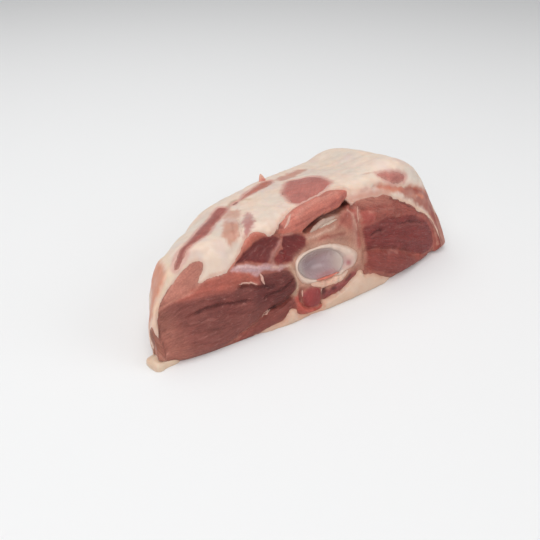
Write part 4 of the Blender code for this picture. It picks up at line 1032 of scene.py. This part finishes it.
def fat_cover(finish):
    """The fat cover as a closed sheet that dips under the meat outside its edge and in its openings.

    Its height is the cover's relief, lifted along the edge over the joint, less the drops at its ragged edge
    and the depth to which the roast has settled. Towards the tips it is thinner and drops less.
    """
    x = row_places(COVER_ROWS)
    x = x[taper_at(x) > COVER_END]
    exposed = exposed_length(x)
    start = np.minimum(np.interp(x, *np.array(COVER_START, float).T), exposed * 0.35)
    share = np.linspace(0, 1, COVER_COLUMNS) ** 1.12
    places = start[:, None] + np.multiply.outer(exposed - hem_at(x) + HEM_TUCK - start, share)
    wide = np.broadcast_to(x[:, None], places.shape)
    taper = taper_at(wide)
    bare = skin(x, places)
    out = directions(x, places)[2]
    inside = fields(wide, places)
    fat = fat_depth(wide, places, exposed[:, None], inside)
    ragged = roughened(fat, bare, COVER_EDGE_BUMPS)
    height = cover_relief(wide, places, bare) * (0.25 + 0.75 * smooth_step(0, 6, ragged))
    height = height * (0.3 + 0.7 * smooth_step(0.1, 0.62, taper))
    lifted = np.interp(wide, LIFTED_X, LIFTED_SHARE) * (places < LIFTED_END)
    height = height + EDGE_LIFT * lifted * (1 - smooth_step(0, 7, ragged))
    room = 0.3 + 0.7 * smooth_step(0.5, 0.85, taper)
    drop = sum(depth * (1 - smooth_step(full, none, ragged)) for depth, full, none in COVER_DROPS)
    height = height + COVER_RISE - drop * room
    height = height - settled_depth(wide, places) - 0.9 * (1 - smooth_step(COVER_END, 0.56, taper))
    outer = bare + height[..., None] * out
    inner = bare + (np.minimum(height, 0) - COVER_THICKNESS * room)[..., None] * out
    points = np.stack([outer, inner])
    points[..., 2] = np.maximum(points[..., 2], COVER_GAP)
    colour = cover_colour(wide, places, bare, inside, fat)
    faces = shell_faces(len(x), COVER_COLUMNS)
    return mesh_piece("fat_layer", points, faces, "root", ("fat_cover",), finish,
                      np.stack([colour, colour]))


def low_fat(finish):
    """The fat beneath the front as a closed sheet: a bead up the cut face and a layer on the underside."""
    x = np.linspace(LOW_LEFT, LOW_RIGHT, LOW_ROWS)
    share = np.linspace(0, 1, LOW_COLUMNS) ** 0.8
    places = np.broadcast_to(LOW_START + LOW_WIDTH * share, (LOW_ROWS, LOW_COLUMNS))
    wide = np.broadcast_to(x[:, None], places.shape)
    bare = skin(x, places)
    out = directions(x, places)[2]
    depth = under_fat_depth(wide, places)
    ragged = roughened(depth, bare, LOW_EDGE_BUMPS)
    puff = roughened(1.0, bare, LOW_BUMPS) + swelling(depth, 1.0, 3.0)
    height = puff * smooth_step(0, 2.5, ragged) - LOW_DIP * (1 - smooth_step(-1.8, 0.4, ragged))
    outer = bare + height[..., None] * out
    beneath = np.where(depth > 0, 0.0, LOW_TUCKED)
    outer[..., 2] = np.where(places < -1, beneath, np.maximum(outer[..., 2], 0.0))
    inner = bare + (np.minimum(height, 0) - LOW_THICKNESS)[..., None] * out
    inner[..., 2] = np.maximum(inner[..., 2], LOW_INNER)
    colour = linear(LOW_FAT_TONE) * (0.92 + 0.14 * cloud(bare, 6.0, 41))[..., None]
    colour = blend(colour, LOW_FAT_BLUSH, 0.7 * (1 - smooth_step(0, 3.0, depth)))
    faces = shell_faces(LOW_ROWS, LOW_COLUMNS)
    return mesh_piece("low_fat", np.stack([outer, inner]), faces, "root", ("under_fat",), finish,
                      np.stack([colour, colour]))


def on_skin_at(x, w, height):
    """Points over single places of the skin, each raised by its height along the normal there."""
    flat_x, flat_w = x.reshape(-1), w.reshape(-1, 1)
    base = skin(flat_x, flat_w)
    out = directions(flat_x, flat_w)[2]
    return (base + height.reshape(-1, 1, 1) * out).reshape(x.shape + (3,))


def joint_reach(angle):
    """Distance from the socket's middle to the bowl's brim and to the bone's outline, at each bearing."""
    outline = curve_through(BONE_OUTLINE, BONE_OUTLINE_STEPS, closed=True) - SOCKET
    bearing = np.arctan2(outline[:, 1], outline[:, 0])
    order = np.argsort(bearing)
    reach = np.interp(angle, bearing[order], np.hypot(*outline.T)[order], period=2 * np.pi)
    turned = angle - BOWL_TILT
    bowl = 1 / np.sqrt((np.cos(turned) / BOWL_HALF_LENGTH) ** 2 + (np.sin(turned) / BOWL_HALF_WIDTH) ** 2)
    return np.minimum(bowl, reach - BRIM_WIDTH), reach


def bowl_height(share):
    """Height of the bowl at a share of its radius: -depth (1 - share^2)^1.1, with a low lip at the brim."""
    return -BOWL_DEPTH * (1 - share**2) ** 1.1 + 0.5 * share**6


def bone_colour(rings, x, w, angle, top):
    """Colour of the bone's rings: grey in the bowl, cream over the rim, and a bloody pore in a pale halo."""
    shade = np.ones(rings.shape) * linear(BONE_TONES["cream"])
    shade = blend(shade, BONE_TONES["bowl"], 0.75 * (1 - smooth_step(0, 0.25, top)))
    shade = blend(shade, BONE_TONES["ridge"], smooth_step(0.15, 0.7, np.sin(angle - 0.35)) * top)
    shade = blend(shade, BONE_TONES["knob"], 0.7 * smooth_step(20, 27, x) * (x < BURIED))
    shade = blend(shade, BONE_TONES["skirt"], 0.6 * smooth_step(0.55, 1.0, top))
    shade = shade * (0.9 + 0.2 * cloud(rings, 3.0, 52))[..., None]
    u, v = x - BLOOD_SPOT[0], w - BLOOD_SPOT[1]
    shade = blend(shade, BONE_TONES["blood"], 0.9 * bell(np.hypot(u, v * 1.1), 2.7))
    return blend(shade, BONE_TONES["halo"], 0.5 * bell(np.hypot(u, v) - 4.2, 1.2))


def shoulder_bone(finish):
    """The joint end of the blade bone: a bowl in a rolled rim, a knob at its right, and a neck into the meat.

    A spoke runs from the bowl's middle to the bone's outline. Within the ellipse of the bowl the height is
    the bowl's own. From its brim to the outline it is a rounded ridge, which then turns down the neck.
    """
    angle = np.linspace(0, 2 * np.pi, BONE_SPOKES, endpoint=False)
    bowl, reach = joint_reach(angle)
    width = reach - bowl
    share = np.concatenate([np.linspace(HUB, 1, BOWL_RINGS), np.ones(RIM_RINGS)])[:, None]
    over = np.concatenate([np.zeros(BOWL_RINGS), np.linspace(0, 1, RIM_RINGS + 1)[1:]])[:, None]
    radius = share * bowl + over * width
    ridge = np.minimum(0.9 + 0.16 * width, 2.4) * np.sin(np.pi * np.clip(over * 0.82 + 0.12, 0, 1)) ** 0.7
    height = np.where(over > 0, ridge - 0.3 - 2.0 * over**4, 0)
    height = np.where(share < 1, bowl_height(share), height)
    u, v = radius * np.cos(angle), radius * np.sin(angle)
    x, w = SOCKET[0] + u, SOCKET[1] + v
    noise = cloud(np.stack([u, v, 0 * u], axis=-1) + 50, 3.5, 51) - 0.5
    points = on_skin_at(x, w, height + 1.3 * noise * over)
    rim = points[-1]
    centre = rim.mean(axis=0)
    out = directions(np.array([SOCKET[0]]), np.array([[SOCKET[1]]]))[2][0, 0]
    neck = [centre + (rim - centre) * size - depth * out for size, depth in NECK]
    rings = np.concatenate([points, neck])
    buried = np.full((len(neck), BONE_SPOKES), BURIED)
    top = np.concatenate([over, np.ones((len(neck), 1))])
    shade = bone_colour(rings, np.concatenate([x, buried]), np.concatenate([w, buried]), angle, top)
    poles = [points[0].mean(axis=0) - 0.2 * out, centre - BONE_DEPTH * out]
    points = np.concatenate([rings.reshape(-1, 3), poles])
    shades = np.concatenate([shade.reshape(-1, 3), linear([BONE_TONES["bowl"], BONE_TONES["cream"]])])
    faces = [face[::-1] for face in ring_faces(len(rings), BONE_SPOKES)]
    return mesh_piece("blade_bone_joint", points, faces, "root", ("shoulder_bone",), finish, shades)


def lining_colour(x, w):
    """Colour of the socket's lining: lilac, shadowed at the left, cream at the right, rosy at the foot."""
    right = smooth_step(-1, 12, x)
    shadow = bell(np.hypot((x - LINING_SHADOW[0]) / 9, (w - LINING_SHADOW[1]) / 5), 1.0)
    rosy = bell(w - LINING_FOOT, 1.6) * smooth_step(-16, -8, x) * (1 - right)
    tone = np.ones(x.shape + (3,)) * linear(LINING_TONES["lilac"])
    tone = blend(tone, LINING_TONES["shadow"], 0.85 * shadow)
    tone = blend(tone, LINING_TONES["cream"], 0.75 * right)
    tone = blend(tone, LINING_TONES["upper"], 0.5 * smooth_step(3, 8, w - SOCKET[1]))
    tone = blend(tone, LINING_TONES["left"], 0.6 * (1 - smooth_step(-21.5, -17, x)))
    return blend(tone, LINING_TONES["rosy"], 0.5 * rosy)


def cartilage(finish):
    """The socket's lining: a thin closed lens over the bowl, thickest in the middle, thinned at the brim."""
    angle = np.linspace(0, 2 * np.pi, LINING_SPOKES, endpoint=False)
    share = np.linspace(HUB, LINING_END, LINING_RINGS)[:, None]
    radius = share * joint_reach(angle)[0]
    x, w = SOCKET[0] + radius * np.cos(angle), SOCKET[1] + radius * np.sin(angle)
    bed = bowl_height(share)
    rise = 0.9 * (1 - (share / 0.97) ** 8) ** 0.5 + 0.05
    over = on_skin_at(x, w, (bed + rise) * np.ones_like(radius))
    under = on_skin_at(x, w, (bed - 0.4) * np.ones_like(radius))
    tone = lining_colour(x, w)
    poles = [over[0].mean(axis=0), under[0].mean(axis=0)]
    points = np.concatenate([over.reshape(-1, 3), under[::-1].reshape(-1, 3), poles])
    tones = np.concatenate([tone.reshape(-1, 3), tone[::-1].reshape(-1, 3), [tone[0, 0], tone[0, 0]]])
    faces = [face[::-1] for face in ring_faces(2 * LINING_RINGS, LINING_SPOKES)]
    return mesh_piece("joint_cartilage", points, faces, "root", ("socket_cartilage",), finish,
                      tones)


def strand(name, half_width, rise, course, finish, base, tone, stands_for=(), sink=0.8, wobble=0.35):
    """Tapering strand along a course on the skin: an ellipse of the half width and the rise, swept along it.

    Its size is sin(pi t)^0.45 over the length, made uneven by noise, and its middle is sunk into the base.
    """
    steps = STRAND_STEPS * len(course)
    line = curve_through(course, steps)
    x, w = line.T
    noise = cloud(np.pad(line, ((0, 0), (0, 1))), 2.5, 61) - 0.5
    size = (np.sin(np.pi * np.linspace(0, 1, steps)) ** 0.45 + 0.04) * (1 + wobble * noise)
    out = directions(x, w[:, None])[2][:, 0]
    centre = skin(x, w[:, None])[:, 0] + (base(x, w) - sink * rise * 0.5)[:, None] * out
    forward = np.gradient(centre, axis=0)
    forward /= np.linalg.norm(forward, axis=1, keepdims=True)
    side = np.cross(out, forward)
    side /= np.linalg.norm(side, axis=1, keepdims=True)
    turn = np.linspace(0, 2 * np.pi, STRAND_SIDES, endpoint=False)
    wide = half_width * size[:, None] * np.cos(turn)
    tall = rise * size[:, None] * np.sin(turn)
    rings = centre[:, None] + wide[..., None] * side[:, None] + tall[..., None] * out[:, None]
    points = np.concatenate([rings.reshape(-1, 3), [centre[0], centre[-1]]])
    points[:, 2] = np.maximum(points[:, 2], 0.1)
    colour = linear(tone) * (0.85 + 0.3 * cloud(points, 2.0, 62))[:, None]
    faces = ring_faces(steps, STRAND_SIDES)
    return mesh_piece(name, points, faces, "root", stands_for, finish, colour)


def meat_height(x, w):
    """Height of the meat over the bare skin at single places."""
    inside = fields(x, w)
    exposed = exposed_length(x)
    bare = skin(x, w[:, None])[:, 0]
    return lean_relief(x, w, bare, inside, fat_depth(x, w, exposed, inside))


def brim_height(x, w):
    """Height of the tissue along the bowl's lower brim."""
    return np.full(x.shape, BRIM_TISSUE_HEIGHT)


def cover_height(x, w):
    """Height of the fat cover over the bare skin at single places."""
    return cover_relief(x, w, skin(x, w[:, None])[:, 0]) + COVER_RISE - settled_depth(x, w)


def floor_tab(finish):
    """Tongue of fat on the floor under the left tip: across it the height is (1 - |t|^3)^(1/3)."""
    rows, columns = 60, 40
    line = curve_through(TAB_LINE, rows)
    course = np.gradient(line, axis=0)
    course /= np.linalg.norm(course, axis=1, keepdims=True)
    t = np.linspace(0, 1, rows)
    width = TAB_HALF_WIDTH * (1 - np.abs(2 * t - 1) ** 3 * 0.999) ** (1 / 3)
    width = width * (1 + 0.08 * np.sin(9 * t + 1))
    across = np.linspace(-1, 1, columns)
    x = line[:, :1] - np.multiply.outer(width, across) * course[:, 1:]
    y = line[:, 1:] + np.multiply.outer(width, across) * course[:, :1]
    round_off = (1 - np.abs(across) ** 3) ** (1 / 3) * ((1 - np.abs(2 * t - 1) ** 4) ** 0.25)[:, None]
    place = np.stack([x, y, 0 * x], axis=-1)
    top = TAB_THICKNESS * round_off * (0.82 + 0.3 * cloud(place, 5.0, 71)) + 0.05
    over = np.stack([x, y, top], axis=-1)
    colour = linear(TAB_TONE) * (0.93 + 0.14 * cloud(place, 4.0, 72))[..., None]
    faces = shell_faces(rows, columns)
    return mesh_piece("floor_fat_tab", np.stack([over, place]), faces, "root", ("fat_tab",), finish,
                      np.stack([colour, colour]))


def back_flap(finish):
    """Small pointed flap of tissue that stands up from the far edge of the top."""
    rows, columns = 24, 16
    t = np.linspace(0, 1, rows)[:, None]
    s = np.linspace(-1, 1, columns)[None, :]
    x = 3.0 + 3.6 * s * (1 - t) ** 0.7 + 1.6 * t
    w = 140.0 + 2.0 * t + 0 * s
    lift = -1.0 + 6.4 * t + 0.5 * np.sin(3 * s + 4 * t) - settled_depth(x, w)
    shift = 0.5 * (1 - 0.8 * t) * (1 - s * s)
    over = on_skin_at(x, w - shift, lift)
    under = on_skin_at(x, w + shift + 0.35, lift)
    tone = blend(np.ones(over.shape) * linear(FLAP_ROOT), FLAP_TIP, t)
    faces = shell_faces(rows, columns)
    return mesh_piece("back_flap", np.stack([over, under]), faces, "root", (), finish,
                      np.stack([tone, tone]))


class Finish:
    """Principled material in the making. A method that adds a node gives the output wanted of it."""

    def __init__(self, name, roughness, subsurface, radius, coat, coat_roughness, specular):
        """New material with its shader's fixed values set."""
        self.material = bpy.data.materials.new(name)
        self.material.use_nodes = True
        self.nodes, self.links = self.material.node_tree.nodes, self.material.node_tree.links
        self.shader = self.nodes["Principled BSDF"]
        self.give(self.shader, {
            "Roughness": roughness, "Subsurface Weight": subsurface, "Subsurface Radius": radius,
            "Subsurface Scale": SUBSURFACE_SCALE, "Coat Weight": coat, "Coat Roughness": coat_roughness,
            "Specular IOR Level": specular,
        })

    def give(self, node, inputs):
        """Links an input of the node to an output, or sets it to a fixed value."""
        for name, given in inputs.items():
            if isinstance(given, bpy.types.NodeSocket):
                self.links.new(given, node.inputs[name])
            else:
                node.inputs[name].default_value = given

    def add(self, kind, inputs):
        """New node of a kind with its inputs given."""
        node = self.nodes.new(kind)
        self.give(node, inputs)
        return node

    def attribute(self, name, output):
        """One output of a mesh attribute."""
        node = self.nodes.new("ShaderNodeAttribute")
        node.attribute_name = name
        return node.outputs[output]

    def place(self):
        """Object coordinates."""
        return self.nodes.new("ShaderNodeTexCoord").outputs["Object"]

    def stretched(self, vector, scale):
        """Coordinates scaled by a different amount on each axis."""
        return self.add("ShaderNodeMapping", {"Vector": vector, "Scale": scale}).outputs["Vector"]

    def noise(self, vector, scale, detail, roughness):
        """Grey noise on the given coordinates."""
        inputs = {"Vector": vector, "Scale": scale, "Detail": detail, "Roughness": roughness}
        return self.add("ShaderNodeTexNoise", inputs).outputs["Fac"]

    def ranged(self, value, low, high, to_low, to_high):
        """Value carried from one range to another, clamped."""
        inputs = {"Value": value, "From Min": low, "From Max": high, "To Min": to_low, "To Max": to_high}
        return self.add("ShaderNodeMapRange", inputs).outputs["Result"]

    def mixed(self, way, share, first, second):
        """Two colours mixed in a way such as MIX or MULTIPLY; inputs 6 and 7 are the node's colours."""
        node = self.nodes.new("ShaderNodeMix")
        node.data_type = "RGBA"
        node.blend_type = way
        self.give(node, {0: share, 6: first, 7: second})
        return node.outputs[2]

    def product(self, first, second):
        """Two grey outputs multiplied."""
        node = self.nodes.new("ShaderNodeMath")
        node.operation = "MULTIPLY"
        self.give(node, {0: first, 1: second})
        return node.outputs[0]

    def bumped(self, height, distance, strength, below=None):
        """Bump from a height, on top of another bump."""
        inputs = {"Height": height, "Distance": distance, "Strength": strength}
        if below is not None:
            inputs["Normal"] = below
        return self.add("ShaderNodeBump", inputs).outputs["Normal"]


def meat_finish():
    """Cut lean meat: fibres along the grain in colour and relief, fine pale marbling, and a moist surface."""
    made = Finish("cut_meat", 0.46, 0.12, (1.0, 0.35, 0.25), 0.08, 0.3, 0.36)
    tint = made.attribute("tint", "Color")
    plain = made.attribute("tint", "Alpha")
    grain = made.attribute("grain", "Vector")
    place = made.place()
    fibre = made.noise(made.stretched(grain, (0.07, 0.75, 1.0)), 1.0, 4.0, 0.6)
    fine = made.noise(made.stretched(grain, (0.16, 2.4, 1.0)), 1.0, 3.0, 0.6)
    veins = made.noise(made.stretched(grain, (0.22, 0.7, 1.0)), 1.0, 8.0, 0.75)
    blotch = made.noise(place, 160.0, 4.0, 0.6)
    speck = made.noise(place, 900.0, 2.0, 0.5)
    darker = made.product(plain, made.ranged(fibre, 0.35, 0.62, 0.5, 0.0))
    colour = made.mixed("MULTIPLY", darker, tint, (0.58, 0.46, 0.46, 1))
    finer = made.product(plain, made.ranged(fine, 0.4, 0.65, 0.5, 0.0))
    colour = made.mixed("MULTIPLY", finer, colour, (0.72, 0.62, 0.62, 1))
    colour = made.mixed("MULTIPLY", made.ranged(speck, 0.4, 0.62, 0.45, 0.0), colour, (0.74, 0.64, 0.62, 1))
    colour = made.mixed("MIX", made.ranged(veins, 0.56, 0.72, 0.0, 0.6), colour, (0.58, 0.30, 0.25, 1))
    colour = made.mixed("MULTIPLY", made.ranged(blotch, 0.4, 0.7, 0.0, 0.35), colour, (0.70, 0.62, 0.60, 1))
    raised = made.product(plain, made.ranged(fibre, 0.0, 1.0, -0.5, 0.5))
    raised_fine = made.product(plain, made.ranged(fine, 0.0, 1.0, -0.5, 0.5))
    relief = made.bumped(raised, 0.0011, 1.0)
    relief = made.bumped(raised_fine, 0.0005, 0.9, relief)
    relief = made.bumped(speck, 0.0002, 0.8, relief)
    sheen = made.ranged(speck, 0.3, 0.7, 0.36, 0.58)
    made.give(made.shader, {"Base Color": colour, "Roughness": sheen, "Normal": relief})
    return made.material


def fat_finish(name, gloss):
    """Soft fat: a smooth greasy skin with faint clouding, small dimples and light passing under it."""
    made = Finish(name, gloss, 0.28, (1.0, 0.62, 0.42), 0.10, 0.35, 0.42)
    tint = made.attribute("tint", "Color")
    place = made.place()
    haze = made.noise(place, 120.0, 5.0, 0.6)
    grit = made.noise(place, 700.0, 3.0, 0.6)
    broad = made.noise(place, 45.0, 3.0, 0.5)
    colour = made.mixed("MULTIPLY", made.ranged(haze, 0.42, 0.7, 0.0, 0.4), tint, (0.90, 0.80, 0.74, 1))
    colour = made.mixed("MIX", made.ranged(broad, 0.45, 0.7, 0.0, 0.25), colour, (0.80, 0.68, 0.58, 1))
    relief = made.bumped(haze, 0.0008, 0.5)
    relief = made.bumped(grit, 0.00015, 0.5, relief)
    sheen = made.ranged(haze, 0.3, 0.7, gloss - 0.08, gloss + 0.12)
    made.give(made.shader, {"Base Color": colour, "Roughness": sheen, "Normal": relief})
    return made.material


def smooth_finish(name, roughness, coat, scale, depth):
    """Bone, cartilage or tendon: its tint with faint clouding under a wet coat."""
    made = Finish(name, roughness, 0.18, (1.0, 0.7, 0.6), coat, 0.12, 0.5)
    tint = made.attribute("tint", "Color")
    haze = made.noise(made.place(), scale, 4.0, 0.55)
    colour = made.mixed("MULTIPLY", made.ranged(haze, 0.35, 0.7, 0.0, 0.45), tint, (0.80, 0.72, 0.68, 1))
    sheen = made.ranged(haze, 0.3, 0.7, roughness - 0.06, roughness + 0.1)
    relief = made.bumped(haze, depth, 0.5)
    made.give(made.shader, {"Base Color": colour, "Roughness": sheen, "Normal": relief})
    return made.material


def floor_finish():
    """Plain pale matt floor."""
    made = bpy.data.materials.new("pale_floor")
    made.use_nodes = True
    shader = made.node_tree.nodes["Principled BSDF"]
    shader.inputs["Base Color"].default_value = FLOOR_COLOUR
    shader.inputs["Roughness"].default_value = 0.9
    return made


def placed(name, data, place, direction):
    """Light or camera at a place, looking along a direction."""
    item = bpy.data.objects.new(name, data)
    item.location = place
    item.rotation_mode = "QUATERNION"
    item.rotation_quaternion = Vector(direction).to_track_quat("-Z", "Y")
    bpy.context.scene.collection.objects.link(item)
    return item


def studio():
    """Pale floor, soft lights from above and from both sides in front, an even sky, and the camera."""
    mesh = bpy.data.meshes.new("floor")
    corners = [(x * FLOOR_HALF, y * FLOOR_HALF, 0) for x, y in ((-1, -1), (1, -1), (1, 1), (-1, 1))]
    mesh.from_pydata(corners, [], [(0, 1, 2, 3)])
    mesh.materials.append(floor_finish())
    floor = bpy.data.objects.new("floor", mesh)
    bpy.context.scene.collection.objects.link(floor)
    for name, (place, size, power) in SOFTBOXES.items():
        lamp = bpy.data.lights.new(name, "AREA")
        lamp.shape = "RECTANGLE"
        lamp.size, lamp.size_y = size
        lamp.energy = power
        placed(name, lamp, place, Vector(LIT_POINT) - Vector(place))
    world = bpy.data.worlds.new("even_sky")
    world.use_nodes = True
    back = world.node_tree.nodes["Background"]
    back.inputs["Color"].default_value = SKY_COLOUR
    back.inputs["Strength"].default_value = SKY_STRENGTH
    bpy.context.scene.world = world
    camera = bpy.data.cameras.new("camera")
    camera.lens = LENS
    camera.sensor_width = SENSOR_WIDTH
    bpy.context.scene.camera = placed("camera", camera, Vector(CAMERA_PLACE) * MM, CAMERA_FORWARD)
    bpy.context.scene.view_settings.view_transform = "Standard"


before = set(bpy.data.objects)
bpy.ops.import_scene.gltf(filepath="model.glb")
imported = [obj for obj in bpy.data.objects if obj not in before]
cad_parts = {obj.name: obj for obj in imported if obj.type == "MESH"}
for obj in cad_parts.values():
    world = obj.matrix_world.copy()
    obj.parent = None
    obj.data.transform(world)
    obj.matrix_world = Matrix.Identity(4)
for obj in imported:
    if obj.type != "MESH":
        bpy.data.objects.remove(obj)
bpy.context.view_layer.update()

meat(meat_finish())
soft_fat = fat_finish("soft_fat_skin", 0.46)
fat_cover(soft_fat)
low_fat(soft_fat)
floor_tab(soft_fat)
shoulder_bone(smooth_finish("joint_bone", 0.40, 0.25, 260.0, 0.0004))
cartilage(smooth_finish("joint_cartilage", 0.26, 0.55, 120.0, 0.0002))
tissue = smooth_finish("white_tissue", 0.40, 0.25, 500.0, 0.0004)
strand("joint_fat_crescent", 2.8, 2.0, CRESCENT, soft_fat, meat_height, (222, 178, 156),
       ("joint_fat",), sink=1.0, wobble=0.3)
sinew = smooth_finish("grey_tendon", 0.36, 0.3, 420.0, 0.0005)
strand("flat_tendon", 1.9, 1.3, TENDON_LINE, sinew, meat_height, (190, 160, 144),
       ("tendon",), sink=0.3, wobble=0.3)
strand("tendon_light_strip", 0.9, 0.8, TENDON_LIGHT, sinew, meat_height, (206, 180, 162))
strand("red_brim_tissue", 0.8, 1.0, RED_EDGE, soft_fat, brim_height, (200, 112, 96),
       sink=0.4, wobble=0.7)
for label, (half, rise, line) in MEAT_STRANDS.items():
    strand(label, half, rise, line, tissue, meat_height, (216, 168, 152))
for label, (half, rise, line) in COVER_STRANDS.items():
    strand(label, half, rise, line, tissue, cover_height, (228, 196, 178))
back_flap(soft_fat)
studio()
